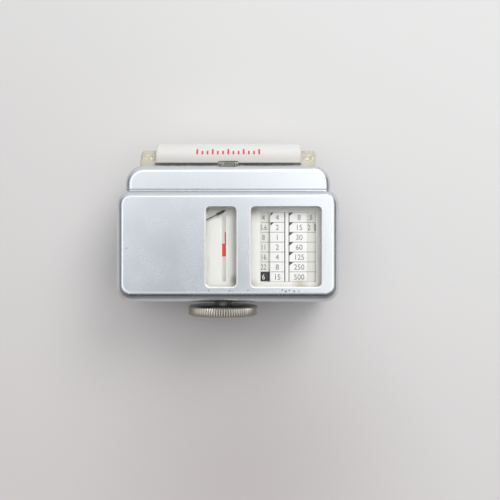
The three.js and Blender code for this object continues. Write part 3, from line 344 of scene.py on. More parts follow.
def scratchesGroup():
    # hairline scratches: stretched noise cut to thin lines, in two directions
    tree, given, made = newGroup("hairlines", {"Line Scale": 260, "Stretch": 14, "Keep": 0.62}, "Lines")
    where = objectPlace(tree)
    kept = []
    for turn in (0.3, 1.5):
        mapping = addNode(tree, "Mapping")
        mapping.inputs["Rotation"].default_value = (0, 0, turn)
        feed(tree, mapping.inputs["Vector"], where)
        spread = addNode(tree, "CombineXYZ")
        for axis, value in enumerate((given["Stretch"], 1, 1)):
            feed(tree, spread.inputs[axis], value)
        squeezed = vectorNode(tree, "DIVIDE", mapping.outputs[0], spread.outputs[0], "Vector")
        lines = noiseNode(tree, given["Line Scale"], squeezed, detail=3, rough=0.7)
        kept.append(mathNode(tree, "GREATER_THAN", lines, given["Keep"]))
    feed(tree, made["Lines"], mathNode(tree, "MAXIMUM", *kept))
    return tree


def nearSpotGroup():
    # a mask that fades away from one place, broken up by noise
    tree, given, made = newGroup("nearSpot", {"Spot": (0, 0, 0), "Reach": 0.004, "Breakup": 0.6}, "Mask")
    where = objectPlace(tree)
    apart = vectorNode(tree, "DISTANCE", where, given["Spot"])
    far = mathNode(tree, "DIVIDE", apart, given["Reach"])
    shift = brokenUp(tree, where, 1400, 0.65, given["Breakup"])
    mask = mathNode(tree, "SUBTRACT", 1, mathNode(tree, "ADD", far, shift), clamp=True)
    feed(tree, made["Mask"], mask)
    return tree


groups = {"grain": fineGrainGroup(), "wear": edgeWearGroup(), "specks": specksGroup(),
          "lines": scratchesGroup(), "spot": nearSpotGroup()}
print("shader groups ready")


def placeGroup(tree, key, values):
    node = addNode(tree, "Group", node_tree=groups[key])
    for label, value in values.items():
        node.inputs[label].default_value = value
    return node.outputs


def mixColour(tree, mask, first, second, strength=1.0):
    # mixes two colours, each a socket or a fixed colour, by a mask
    node = addNode(tree, "Mix", data_type="RGBA")
    if strength != 1.0:
        mask = mathNode(tree, "MULTIPLY", mask, strength)
    tree.links.new(mask, node.inputs[0])
    for socket, value in ((node.inputs[6], first), (node.inputs[7], second)):
        feed(tree, socket, (*value, 1) if isinstance(value, tuple) else value)
    return node.outputs[2]


def colour(r, g, b):
    # a picture colour, 0 to 255, as the shader's linear colour
    def linear(value):
        share = value / 255
        return share / 12.92 if share <= 0.04045 else ((share + 0.055) / 1.055) ** 2.4
    return (linear(r), linear(g), linear(b))


def stained(tree, paint, stains):
    # old dirt and brassing at known places: x, y, z, reach, colour and strength
    for x, y, z, reach, tint, strength in stains:
        values = {"Spot": (x * mm, y * mm, z * mm), "Reach": reach * mm, "Breakup": 0.7}
        mask = placeGroup(tree, "spot", values)["Mask"]
        paint = mixColour(tree, mask, paint, colour(*tint), strength)
    return paint


def grainOf(tree, look):
    scales = {"Grain Scale": look["grainScale"], "Cloud Scale": look["cloudScale"]}
    return placeGroup(tree, "grain", scales)


def newMaterial(name, sockets):
    material = bpy.data.materials.new(name)
    material.use_nodes = True
    shader = material.node_tree.nodes["Principled BSDF"]
    for label, value in sockets.items():
        shader.inputs[label].default_value = value
    return material, material.node_tree, shader


def addBump(tree, shader, height, strength, depth):
    bump = addNode(tree, "Bump")
    bump.inputs["Strength"].default_value = strength
    bump.inputs["Distance"].default_value = depth * mm
    feed(tree, bump.inputs["Height"], height)
    feed(tree, shader.inputs["Normal"], bump.outputs[0])


# what a finish has where it doesn't say otherwise
plainLook = {"grainScale": 9000, "cloudScale": 90, "rough": 0.4, "roughSpread": 0.06, "metallic": 0,
             "wear": 0.6, "speckScale": 700, "speckSize": 0.16, "speckKeep": 0.8, "lineKeep": 0.66,
             "bump": 0.1, "bumpDepth": 0.02, "stains": (), "sockets": {}}
wearStart, wearSoft, speckStrength, speckRough, cloudStart, cloudDim = 0.53, 0.05, 0.7, 0.2, 0.3, 0.93


def makeFinish(name, given):
    # one finish: base colour with clouds, grain, worn edges, specks, hairlines and stains
    look = {**plainLook, **given}
    material, tree, shader = newMaterial(name, {"Metallic": look["metallic"], **look["sockets"]})
    grain = grainOf(tree, look)
    base = colour(*look["base"])
    cloudy = colour(*look["cloudy"]) if "cloudy" in look else tuple(c * cloudDim for c in base)
    clouds = mathNode(tree, "SUBTRACT", grain["Clouds"], cloudStart, clamp=True)
    paint = mixColour(tree, clouds, base, cloudy)
    rough, spread = look["rough"], look["roughSpread"]
    roughness = mathNode(tree, "MULTIPLY_ADD", grain["Clouds"], 2 * spread, rough - spread)
    roughness = mathNode(tree, "MULTIPLY_ADD", grain["Grain"], spread, roughness)
    if "wearColour" in look:
        worn = placeGroup(tree, "wear", {"Start": wearStart, "Softness": wearSoft})
        paint = mixColour(tree, worn["Worn"], paint, colour(*look["wearColour"]), look["wear"])
    paint = stained(tree, paint, look["stains"])
    if "speckColour" in look:
        values = {"Speck Scale": look["speckScale"], "Speck Size": look["speckSize"],
                  "Keep": look["speckKeep"]}
        specks = placeGroup(tree, "specks", values)["Specks"]
        paint = mixColour(tree, specks, paint, colour(*look["speckColour"]), speckStrength)
        roughness = mathNode(tree, "MULTIPLY_ADD", specks, speckRough, roughness)
    if "lines" in look:
        lines = placeGroup(tree, "lines", {"Keep": look["lineKeep"]})
        roughness = mathNode(tree, "MULTIPLY_ADD", lines["Lines"], look["lines"], roughness)
    feed(tree, shader.inputs["Base Color"], paint)
    feed(tree, shader.inputs["Roughness"], mathNode(tree, "ADD", roughness, 0, clamp=True))
    addBump(tree, shader, grain["Grain"], look["bump"], look["bumpDepth"])
    return material


# Finishes

grime = tuple((x, y, 22.4, reach, (92, 88, 84), 0.8) for x, y, reach in (
    (-4.3, -13.0, 0.3), (0.4, -13.1, 0.26), (1.0, -13.0, 0.22), (4.6, -12.9, 0.26),
    (12.4, -12.9, 0.3), (13.2, -13.2, 0.36), (14.0, -13.0, 0.3), (15.1, -13.2, 0.34),
    (16.1, -13.2, 0.26), (20.8, 8.9, 0.24), (-23.0, -3.4, 0.22)))


# painted light: an emission that makes a surface glow though it is no lamp
def glow(tint, strength):
    return {"Emission Color": (*tint, 1), "Emission Strength": strength}


def inkLook(base, cloudy, rough, sockets=None):
    return {"base": base, "cloudy": cloudy, "rough": rough, "grainScale": 30000, "bump": 0.02,
            "sockets": sockets or {}}


finishes = {
    "satin chrome": {
        "base": (217, 221, 226), "cloudy": (208, 213, 220), "metallic": 1, "rough": 0.24,
        "roughSpread": 0.05, "grainScale": 5200, "bump": 0.2, "bumpDepth": 0.012, "lines": 0.1,
        "lineKeep": 0.69, "speckColour": (120, 110, 96), "speckScale": 420, "speckKeep": 0.93,
        "speckSize": 0.11, "stains": ((-24.9, -14.6, 20.2, 2.4, (186, 138, 78), 0.95),
                                      (-24.6, -15.4, 16.0, 4.6, (190, 152, 96), 0.7),
                                      (24.7, -14.9, 20.0, 2.0, (190, 156, 108), 0.7)) + grime},
    # painted highlight: window chamfers coloured brighter where they catch the light
    "rim painted highlight": {
        "base": (244, 242, 236), "cloudy": (234, 230, 218), "metallic": 0.35, "rough": 0.3,
        "bump": 0.03},
    "wheel chrome": {
        "base": (160, 159, 157), "cloudy": (136, 133, 125), "metallic": 1, "rough": 0.27,
        "roughSpread": 0.06, "grainScale": 7000, "bump": 0.06, "bumpDepth": 0.01,
        "wearColour": (232, 220, 192), "wear": 0.4, "speckColour": (88, 78, 62), "speckScale": 520,
        "speckKeep": 0.88, "speckSize": 0.13},
    "bright steel": {
        "base": (196, 196, 194), "metallic": 1, "rough": 0.28, "bump": 0.06,
        "wearColour": (228, 226, 220), "speckColour": (92, 78, 62), "speckKeep": 0.86},
    "dark steel": {"base": (70, 68, 66), "metallic": 1, "rough": 0.42, "wearColour": (150, 146, 140)},
    "brass": {
        "base": (196, 160, 92), "cloudy": (160, 122, 66), "metallic": 1, "rough": 0.34,
        "grainScale": 8000, "bump": 0.08, "wearColour": (226, 198, 140), "speckColour": (98, 72, 40)},
    "aluminium": {"base": (206, 208, 210), "metallic": 1, "rough": 0.38, "wearColour": (236, 236, 236)},
    "enamelled copper": {
        "base": (150, 70, 34), "cloudy": (116, 48, 24), "metallic": 0.7, "rough": 0.3,
        "grainScale": 6000, "bump": 0.3, "bumpDepth": 0.03},
    "resistor lacquer": {
        "base": (146, 116, 74), "cloudy": (120, 92, 56), "rough": 0.35, "grainScale": 5000,
        "bump": 0.12, "speckColour": (70, 50, 30)},
    "ivory paint": {
        "base": (238, 238, 236), "cloudy": (232, 232, 227), "rough": 0.62, "grainScale": 12000,
        "bump": 0.03, "speckColour": (120, 112, 92), "speckScale": 620, "speckKeep": 0.95,
        "speckSize": 0.12},
    "drum white": {
        "base": (229, 229, 225), "cloudy": (221, 220, 213), "rough": 0.55, "grainScale": 12000,
        "bump": 0.03},
    "black plastic": {
        "base": (24, 24, 24), "cloudy": (32, 31, 29), "rough": 0.42, "grainScale": 8000, "bump": 0.12,
        "wearColour": (70, 68, 64), "speckColour": (120, 112, 98), "speckKeep": 0.92},
    "needle black": {"base": (52, 50, 50), "cloudy": (70, 66, 62), "bump": 0.04},
    "cell grey": {
        "base": (74, 72, 80), "cloudy": (58, 56, 66), "metallic": 0.5, "rough": 0.32,
        "grainScale": 4000, "bump": 0.08, "lines": 0.12},
    "ruby": {
        "base": (150, 16, 36), "cloudy": (120, 10, 28), "rough": 0.12, "grainScale": 4000,
        "bump": 0.02, "sockets": {"Coat Weight": 0.5}},
    "number ink": inkLook((86, 86, 88), (104, 104, 104), 0.55),
    "f number ink": inkLook((84, 84, 86), (104, 104, 104), 0.55),
    "black ink": inkLook((34, 32, 30), (48, 45, 42), 0.5),
    "white ink": inkLook((237, 237, 238), (231, 231, 231), 0.55),
    "red ink": inkLook((222, 52, 50), (206, 46, 46), 0.5),
    # painted light: the red index steps glow, standing in for light that the narrow slot keeps out
    "index red": inkLook((234, 92, 80), (224, 84, 72), 0.5, glow((0.9, 0.12, 0.08), 0.3)),
    # painted shade: a dark strip laid in the crease between the cover's two tiers
    "seam grime": {
        "base": (132, 136, 141), "cloudy": (160, 162, 165), "rough": 0.6, "metallic": 0.6,
        "bump": 0.05},
    # painted light: the white band on the index drum glows, standing in for light that the narrow slot keeps
    # out
    "index white": {
        "base": (246, 247, 245), "cloudy": (240, 241, 237), "rough": 0.5, "grainScale": 12000,
        "bump": 0.02, "sockets": glow((1, 1, 0.98), 0.24)},
}

finish = {name: makeFinish(name.replace(" ", "_"), look) for name, look in finishes.items()}
clearBumpDepth = 0.01


def makeClear(name, given):
    # clear stock that lets light through; grime gathers in the named places
    look = {"grainScale": 3000, "cloudScale": 160, "stains": (), **given}
    material, tree, shader = newMaterial(name, {"Metallic": 0, **look["sockets"]})
    grain = grainOf(tree, look)
    paint = mixColour(tree, grain["Clouds"], colour(*look["base"]), colour(*look["cloudy"]))
    paint = stained(tree, paint, look["stains"])
    if "root" in look:  # painted shade: darker towards the edge next to the casing
        start, end, tint = look["root"]
        parts = addNode(tree, "SeparateXYZ")
        feed(tree, parts.inputs[0], objectPlace(tree))
        near = smoothRange(tree, parts.outputs[1], end * mm, start * mm)
        paint = mixColour(tree, near, paint, colour(*tint))
    feed(tree, shader.inputs["Base Color"], paint)
    roughness = mathNode(tree, "MULTIPLY_ADD", grain["Clouds"], look["roughSpread"], look["rough"])
    feed(tree, shader.inputs["Roughness"], roughness)
    if "shade" in look:  # most of the light passes through to what is under it
        shadow = addNode(tree, "LightPath").outputs["Is Shadow Ray"]
        feed(tree, shader.inputs["Alpha"], mathNode(tree, "MULTIPLY_ADD", shadow, look["shade"] - 1, 1))
    addBump(tree, shader, grain["Grain"], look["bump"], clearBumpDepth)
    return material


clearLooks = {
    "window pane": {
        "sockets": {"Transmission Weight": 1, "IOR": 1.49}, "base": (255, 255, 254),
        "cloudy": (253, 253, 250), "cloudScale": 120, "rough": 0, "roughSpread": 0.02, "bump": 0.01,
        "shade": 0.02,
        "stains": ((16.5, -12.0, 21.2, 2.2, (176, 160, 108), 0.5),
                   (5.6, -12.0, 21.2, 1.8, (190, 172, 118), 0.45),
                   (1.7, -10.6, 21.2, 1.6, (150, 138, 92), 0.6),
                   (5.4, 5.4, 21.2, 1.6, (190, 172, 118), 0.4))},
    "cast plastic": {
        "sockets": {"Transmission Weight": 0.56, "IOR": 1.5}, "base": (255, 251, 237),
        "cloudy": (252, 244, 222), "rough": 0.04, "roughSpread": 0.05, "bump": 0.04, "shade": 0.15,
        "stains": ((-20.0, 15.0, 14.0, 3.4, (186, 150, 84), 0.7),
                   (20.0, 15.0, 14.0, 3.0, (176, 148, 96), 0.6))},
    "lens plastic": {
        "sockets": {"Transmission Weight": 0.96, "IOR": 1.49}, "base": (252, 251, 245),
        "cloudy": (246, 243, 230), "rough": 0.02, "roughSpread": 0.04, "bump": 0.03, "shade": 0.1},
    "opal plastic": {
        "sockets": {"Transmission Weight": 0.12, "IOR": 1.49, "Subsurface Weight": 0.3,
                    "Subsurface Scale": 0.5 * mm},
        "base": (231, 231, 230), "cloudy": (226, 225, 221), "grainScale": 6000, "cloudScale": 140,
        # painted shade: the diffuser is coloured darker towards its edge next to the casing
        "rough": 0.3, "roughSpread": 0.08, "bump": 0.04, "root": (16.4, 19.2, (203, 201, 197))},
}
clear = {name: makeClear(name.replace(" ", "_"), look) for name, look in clearLooks.items()}

slotClear = {"diffuser_white": "opal plastic", "clear_plastic": "cast plastic",
             "clear_glass": "window pane"}

for row in frame["record"]["subparts"]:
    key = row["material_slot"]
    look = clear[slotClear[key]] if key in slotClear else finish[key.replace("_", " ")]
    data = nodes[row["node"]].data
    if not data.materials:
        data.materials.append(look)
    for i in range(len(data.materials)):
        data.materials[i] = look
print("finishes ready:", len(finish) + len(clear))


# Casing: the pressed and plated cover, with soft edges and chamfered windows

casing = {"halfWidth": 25.5, "rearY": -15.7, "stepY": 10.0, "frontY": 15.7, "lowZ": 3.8, "topZ": 22.4,
          "noseTopZ": 21.0, "noseHalf": 23.6, "cornerRadius": 3.4, "noseRadius": 4.3, "fillet": 2.6,
          "sideFillet": 1.8, "noseFillet": 1.6, "hollowFillet": 0.8, "noseHollowFillet": 0.1,
          "wall": 0.9, "openingHalf": 20.9, "floorZ": 4.7, "notchHalf": 2.35, "notchDepth": 0.45,
          "bushHole": 3.4, "screwYs": (-8.5, 2.8), "screwZ": 7.2, "screwRadius": 0.9,
          "screwSink": 1.6, "screwSinkDepth": 0.6}
windows = {"rearY": -12.13, "frontY": 5.94, "cornerRadius": 0.9, "chamfer": 0.32, "chamferRoom": 0.05,
           "flare": 0.02, "chamferSteps": 4, "places": ((-1.52, 6.79), (13.3, 15.94))}
rim = {"reachX": 0.36, "reachY": 0.4, "lowZ": 21.9, "tilt": (0.15, 0.995), "rearFacing": -0.35}
wheel = {"x": -1.37, "z": 13.0, "radius": 8.35, "innerY": -16.9, "outerY": -19.36, "teeth": 86,
         "depth": 0.22, "crest": (0, 0.5, 0.92, 1.0, 0.92, 0.5), "bevel": 0.45, "faceBevel": 0.25,
         "bevelRim": 0.12, "bevelStep": 0.02, "recess": 5.3, "recessY": -18.36,
         "recessFlare": (0.25, 0.2), "bore": 2.2, "faceRings": (6.6, 7.15), "ringWidth": 0.12,
         "ringDepth": 0.06}
past = 1  # how far a cutting shape reaches past what it cuts
axle = (wheel["x"], 0, wheel["z"])


def windowTool(centre, width):
    w, topZ = windows, casing["topZ"]
    rise = w["chamfer"] + w["chamferRoom"]
    levels = [(0, topZ - casing["wall"] - past), (0, topZ - rise)]
    levels += [(-w["chamfer"] * inward, topZ - rise + rise * up)
               for inward, up in rolled(w["chamferSteps"], first=1)]
    levels.append((-w["chamfer"] - w["flare"], topZ + past))
    return loft([roundedRing(centre - width / 2, centre + width / 2, w["rearY"], w["frontY"],
                             w["cornerRadius"], inset, z, steps=8) for inset, z in levels])


def block(half, y0, y1, z0, z1, corner, fillet, steps, sideFillet=None):
    # a box with rolled upper edges; the rear edge can be rolled wider than the sides and the front
    side = sideFillet or fillet
    rings = [roundedRing(-half, half, y0, y1, corner, 0, z0)]
    for inward, up in rolled(steps):
        rings.append(roundedRing(-half, half, y0 + (fillet - side) * inward, y1, corner,
                                 side * inward, z1 - fillet + fillet * up))
    return loft(rings)


def makeCover():
    c, wall = casing, casing["wall"]
    inside, corner, noseCorner = c["halfWidth"] - wall, c["cornerRadius"], c["noseRadius"]
    noseBack = c["stepY"] - c["fillet"] - noseCorner
    main = block(c["halfWidth"], c["rearY"], c["stepY"], c["lowZ"], c["topZ"], corner, c["fillet"],
                 steps=9, sideFillet=c["sideFillet"])
    nose = block(c["noseHalf"], noseBack, c["frontY"], c["lowZ"], c["noseTopZ"], noseCorner,
                 c["noseFillet"], steps=7)
    mainHollow = block(inside, c["rearY"] + wall, c["stepY"] - wall, c["lowZ"] - past, c["topZ"] - wall,
                       corner - wall, c["hollowFillet"], steps=4)
    noseHollow = block(c["noseHalf"] - wall, noseBack, c["frontY"] - wall, c["lowZ"] - past,
                       c["noseTopZ"] - wall, noseCorner - wall, c["noseHollowFillet"], steps=2)
    opening = boxMesh(-c["openingHalf"], c["openingHalf"], c["frontY"] - wall - past,
                      c["frontY"] + past, c["floorZ"], c["noseTopZ"] - wall)
    notch = loft([roundedRing(-c["notchHalf"], c["notchHalf"], c["frontY"] - c["notchDepth"],
                              c["frontY"] + 2 * past, c["notchDepth"], 0, z, steps=6)
                  for z in (c["noseTopZ"] - wall - past, c["noseTopZ"] + past)])
    tools = [mainHollow, noseHollow, opening, notch,
             rod(c["bushHole"], c["rearY"] - past, c["rearY"] + wall + past, "Y", axle)]
    for y in c["screwYs"]:
        for side in (-1, 1):
            spot, outer = (0, y, c["screwZ"]), side * (c["halfWidth"] + past)
            tools.append(rod(c["screwRadius"], side * (inside - past), outer, "X", spot, sides=32))
            tools.append(rod(c["screwSink"], side * (c["halfWidth"] - c["screwSinkDepth"]), outer, "X",
                             spot, sides=48))
    tools += [windowTool(*place) for place in windows["places"]]
    return combine(combine(main, [nose], "UNION"), tools)


def onRim(face):
    # the chamfers round the windows, all but the one along each window's front edge, get a painted highlight
    x, y, z = (v / mm for v in face.center)
    beside = any(abs(x - centre) < width / 2 + rim["reachX"] for centre, width in windows["places"])
    along = windows["rearY"] - rim["reachY"] < y < windows["frontY"] + rim["reachY"]
    tilted = rim["tilt"][0] < face.normal.z < rim["tilt"][1] and face.normal.y > rim["rearFacing"]
    return beside and along and tilted and z > rim["lowZ"]


coverMesh = tidyMesh(makeCover())
cover = newObject("cover_skin", coverMesh, finish["satin chrome"], "casing")
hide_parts("top_cover")
even = cover.modifiers.new("even", "WEIGHTED_NORMAL")
even.keep_sharp = True
# painted highlight on the window chamfers that face the light
coverMesh.materials.append(finish["rim painted highlight"])
for face in coverMesh.polygons:
    if onRim(face):
        face.material_index = 1
print("cover made:", len(coverMesh.polygons), "faces")


# Setting wheel: fine straight knurl with rolled bevels and a turned face

def makeWheel():
    w = wheel
    steps = len(w["crest"])
    count = w["teeth"] * steps
    outline = [(2 * pi * i / count, w["radius"] - w["depth"] * (1 - w["crest"][i % steps]))
               for i in range(count)]
    outer, inner, b = w["outerY"], w["innerY"], w["bevel"]
    face, shoulder = -b - w["faceBevel"], -b + w["bevelStep"]
    rings = []
    for y, inset in ((outer, face), (outer + w["bevelRim"], shoulder), (outer + b, 0), (inner - b, 0),
                     (inner - w["bevelRim"], shoulder), (inner, face)):
        reaches = [(angle, min(radius, w["radius"] + inset)) for angle, radius in outline]
        rings.append([(w["x"] + reach * cos(angle), y, w["z"] - reach * sin(angle))
                      for angle, reach in reaches])
    flareOut, flareDeep = w["recessFlare"]
    tools = [rod(w["bore"], outer - past, inner + past, "Y", axle),
             turned([(0, outer - past), (w["recess"] + flareOut, outer - past),
                     (w["recess"] + flareOut, outer), (w["recess"], outer + flareDeep),
                     (w["recess"], w["recessY"]), (0, w["recessY"])], "Y", axle)]
    for radius in w["faceRings"]:  # two turned lines on the outer face
        far, deep = radius + w["ringWidth"], outer + w["ringDepth"]
        tools.append(turned([(radius, outer - past), (far, outer - past), (far, deep), (radius, deep)],
                            "Y", axle))
    return combine(edited(loft(rings), faceOut), tools)


wheelMesh = tidyMesh(makeWheel(), sharpFrom=40)
wheelPiece = newObject("wheel_knurled", wheelMesh, finish["wheel chrome"], "setting_wheel_body")
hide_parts("setting_wheel")
print("wheel made:", len(wheelMesh.polygons), "faces")


# Clear capsule behind the diffuser: rounded ends and a moulded honeycomb of small domes

capsule = {"y": 14.2, "z": 12.4, "radius": 5.8, "half": 20.6, "endRadius": 0.7, "endSteps": 6,
           "sides": 144, "fieldHalf": 15.35, "fieldAngle": 43, "fieldSteps": 132, "recess": 0.35,
           "pitch": 3.1, "lastRow": 1, "earFrom": 17.2, "earTo": 20.1, "earAngle": 62,
           "earSteps": 24, "earRecess": 0.3, "earPitch": 1.45, "earLastRow": 9, "domeFill": 0.92,
           "edgeRoom": 0.01, "chamberHalf": 19.5, "chamberFrontY": 13.9, "chamberReach": 5.3}


def honeycombHeight(x, along, pitch, lastRow):
    # height of the dome field at a place on the unrolled barrel
    rise = pitch * cos(radians(30))
    best = 9
    row = round(along / rise)
    for near in (row - 1, row, row + 1):
        if abs(near) <= lastRow:
            shift = pitch / 2 if near % 2 else 0
            column = round((x - shift) / pitch - 0.5) + 0.5
            u, v = abs(x - shift - column * pitch), abs(along - near * rise)
            best = min(best, max(u, u / 2 + v * sin(radians(60))) / (pitch / 2))
    return max(0, 1 - (best / capsule["domeFill"]) ** 2)


def capsuleReach(x, base, lean):
    # the radius at a place, drawn in between the domes
    c = capsule
    aside, along = abs(degrees(lean)), lean * c["radius"]
    if abs(x) < c["fieldHalf"] - c["edgeRoom"] and aside < c["fieldAngle"]:
        base -= c["recess"] * (1 - honeycombHeight(x, along, c["pitch"], c["lastRow"]))
    if c["earFrom"] < abs(x) < c["earTo"] - c["edgeRoom"] and aside < c["earAngle"]:
        base -= c["earRecess"] * (1 - honeycombHeight(x, along, c["earPitch"], c["earLastRow"]))
    return base


def makeCapsule():
    c, sides = capsule, capsule["sides"]
    ends = [(c["half"] - c["endRadius"] * inward, c["radius"] - c["endRadius"] * (1 - up))
            for inward, up in rolled(c["endSteps"])]
    field = [(c["fieldHalf"] * (2 * i / c["fieldSteps"] - 1), c["radius"])
             for i in range(c["fieldSteps"] + 1)]
    stations = [(c["earFrom"] + (c["earTo"] - c["earFrom"]) * i / c["earSteps"], c["radius"])
                for i in range(c["earSteps"] + 1)]
    stations += [s for s in reversed(ends) if s[0] > c["earTo"]]
    mirrored = [(-x, reach) for x, reach in reversed(stations)]
    rings = []
    for x, base in mirrored + field + stations:
        ring = []
        for turn in range(sides):
            angle = 2 * pi * turn / sides
            reach = capsuleReach(x, base, (angle + pi) % (2 * pi) - pi)
            ring.append((x, c["y"] + reach * cos(angle), c["z"] + reach * sin(angle)))
        rings.append(ring)
    chamber = boxMesh(-c["chamberHalf"], c["chamberHalf"], c["y"] - c["radius"] - past,
                      c["chamberFrontY"], c["z"] - c["chamberReach"], c["z"] + c["chamberReach"])
    return combine(edited(loft(rings), faceOut), [chamber])


capsuleMesh = makeCapsule()
smoothBy(capsuleMesh, 30)
capsulePiece = newObject("capsule_clear", capsuleMesh, clear["cast plastic"], "casing")
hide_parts("lens_capsule")
capsuleMesh.materials.append(clear["lens plastic"])
for face in capsuleMesh.polygons:  # the ends stay milkier than the lens between them
    if abs(face.center.x) < capsule["fieldHalf"] * mm:
        face.material_index = 1
print("capsule made:", len(capsuleMesh.polygons), "faces")


# White diffuser: part of a barrel with rounded ends and a thumb notch in its upper edge

diffuser = {"radius": 7.4, "bore": 6.1, "half": 16.9, "arc": 146, "edgeRadius": 0.6, "edgeSteps": 6,
            "notchHalf": 2.35, "notchDepth": 0.4, "notchReach": 3, "lip": 0.16, "tickSpan": 7.2,
            "ticks": 13, "tickWidth": 0.42, "tickTop": 55.6, "tickLow": 41.4, "tickShort": 46.5}


def makeDiffuser():
    d = diffuser
    profile = [(d["bore"], -d["half"])]
    edge = rolled(d["edgeSteps"])
    for side, steps in ((-1, edge), (1, reversed(edge))):
        profile += [(d["radius"] - d["edgeRadius"] * (1 - up),
                     side * (d["half"] - d["edgeRadius"] * inward)) for inward, up in steps]
    profile.append((d["bore"], d["half"]))
    shell = turned(profile, "X", (0, capsule["y"], capsule["z"]), start=-d["arc"] / 2,
                   sweep=d["arc"])
    rimAngle = radians(d["arc"] / 2)
    notchY = capsule["y"] + d["radius"] * cos(rimAngle)
    low, high = capsule["z"] + d["bore"] * sin(rimAngle) - past, capsule["z"] + d["radius"] + past
    notch = loft([roundedRing(-d["notchHalf"], d["notchHalf"], notchY - d["notchReach"],
                              notchY + d["notchDepth"], d["notchDepth"], 0, z, steps=6)
                  for z in (low, high)])
    return combine(shell, [notch])


def wrapTick(p):
    # maps a stroke, drawn as degrees up the barrel by place along it, to the diffuser
    angle, reach = radians(p.x), diffuser["radius"]
    return (p.y, capsule["y"] + reach * cos(angle), capsule["z"] + reach * sin(angle))


diffuserMesh = tidyMesh(makeDiffuser(), diffuser["lip"], sharpFrom=40)
diffuserPiece = newObject("diffuser_white", diffuserMesh, clear["opal plastic"], "diffuser_body")
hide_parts("diffuser_shell")

ticks = ([], [])
for i in range(diffuser["ticks"]):
    x = -diffuser["tickSpan"] + 2 * diffuser["tickSpan"] * i / (diffuser["ticks"] - 1)
    lowEnd = diffuser["tickLow"] if i % 3 == 0 else diffuser["tickShort"]
    half = diffuser["tickWidth"] / 2
    stroke = rectangle(lowEnd, diffuser["tickTop"], x - half, x + half, cellsAcross=8)
    gather(ticks, stroke, wrapTick)
printed("diffuser_ticks", ticks, finish["red ink"], "diffuser_body")
print("diffuser made:", len(diffuserMesh.polygons), "faces")


# Printing on the dial plate: two columns of shutter times between the two drum slots

table = {"topY": 4.84, "pitch": 2.277, "rows": 7, "line": 0.1, "plateZ": 19.9, "margin": 0.02,
         "bar": (13.17, 13.93), "barRoom": 0.05, "digit": 1.3, "digitWidth": 0.92}
columns = {"left": {"from": 9.78, "to": 12.94, "middle": 11.33, "cut": (0.75, 0.75), "cutRows": 2,
                    "times": ("4", "2", "1", "2", "4", "8", "15")},
           "right": {"from": 14.13, "to": 18.23, "middle": 16.35, "cut": (0.9, 0.78), "cutRows": 6,
                     "times": ("8", "15", "30", "60", "125", "250", "500")}}
# where the strip of painted shade lies in the crease between the cover's tiers
creaseShadePlace = {"endRoom": 0.5, "width": 0.22, "thickness": 0.004}


def flat(height, x=0, y=0):
    return lambda p: (x + p.x, y + p.y, height)


def rowTop(row):
    return table["topY"] - row * table["pitch"]


def rowMiddle(row):
    return rowTop(row) - table["pitch"] / 2


def cell(column, row):
    # a table cell, with its upper left corner cut off in the upper rows
    x0, x1, half = column["from"], column["to"], table["line"] / 2
    y0, y1 = rowTop(row + 1) + half, rowTop(row) - half
    points = [(x0, y0, 0), (x1, y0, 0), (x1, y1, 0)]
    if row < column["cutRows"]:
        points += [(x0 + column["cut"][0], y1, 0), (x0, y1 - column["cut"][1], 0)]
    else:
        points.append((x0, y1, 0))
    return meshFrom(points, [tuple(range(len(points)))], unit=1)


backing, cells, timeInk = ([], []), ([], []), ([], [])
tableEnd = rowTop(table["rows"])
gather(backing, rectangle(columns["left"]["from"] - table["margin"],
                          columns["right"]["to"] + table["margin"], tableEnd, rowTop(0)),
       flat(table["plateZ"]))
for row in range(table["rows"]):
    for column in columns.values():
        gather(cells, cell(column, row), flat(table["plateZ"] + layer))
        gather(timeInk, textMesh(column["times"][row], table["digit"], table["digitWidth"]),
               flat(table["plateZ"] + 2 * layer, column["middle"], rowMiddle(row)))
gather(cells, rectangle(*table["bar"], tableEnd + table["barRoom"], rowTop(0) - table["barRoom"]),
       flat(table["plateZ"] + layer))
for kind, ink, tint in (("backing", backing, "black ink"), ("cells", cells, "white ink"),
                        ("times", timeInk, "number ink")):
    printed("table_" + kind, ink, finish[tint], "casing")
seam, creaseShadeHalf = ([], []), casing["noseHalf"] - creaseShadePlace["endRoom"]
gather(seam, rectangle(-creaseShadeHalf, creaseShadeHalf, casing["stepY"], casing["stepY"] + creaseShadePlace["width"]),
       flat(casing["noseTopZ"]))  # painted shade in the corner between the cover's two tiers
printed("step_grime", seam, finish["seam grime"], "casing", creaseShadePlace["thickness"])
print("dial plate printed")


# Printing round the drums: stops for each light value, and the red steps of the needle index

drums = {"radius": 4.6, "z": 14.7, "columnDegrees": 30, "values": range(5, 17), "restValue": 6,
         "digit": 1.28, "digitWidth": 0.78, "lineWidth": 0.09, "lineThickness": 0.008, "ringSteps": 96,
         "patchSide": 0.08, "patchLow": 0.1, "patchHigh": 0.05, "endBar": (0.72, 1.05, -0.85, 0.85),
         "stops": {2: "2", 3: "2.8", 4: "4", 5: "5.6", 6: "8", 7: "11", 8: "16", 9: "22"}}
drumInks = {"lines": "number ink", "stops": "f number ink", "cells": "black ink", "values": "white ink"}
drumSides = {"left": {"x": 8.56, "shift": -0.39}, "right": {"x": 19.2, "shift": -0.55}}
index = {"x": -1.37, "z": 13.0, "radius": 5.0, "ends": (-10.95, 5.25), "redTurn": (-23.5, 9.8),
         "redAlong": (-5.31, -2.29), "redStep": 2.7, "redSteps": range(-2, 4), "stepLift": 0.001}


def wrapOn(drum, turn, along, lift=0):
    # maps flat print to a drum about the Y direction
    def place(p):
        angle = radians(turn) + p.x / drum["radius"]
        reach = drum["radius"] + lift
        return (drum["x"] + reach * sin(angle), along + p.y, drum["z"] + reach * cos(angle))
    return place


def ringBand(drum, half):
    return rectangle(0, 2 * pi * drum["radius"], -half, half, drums["ringSteps"])


def drumText(words):
    return textMesh(words, drums["digit"], drums["digitWidth"])


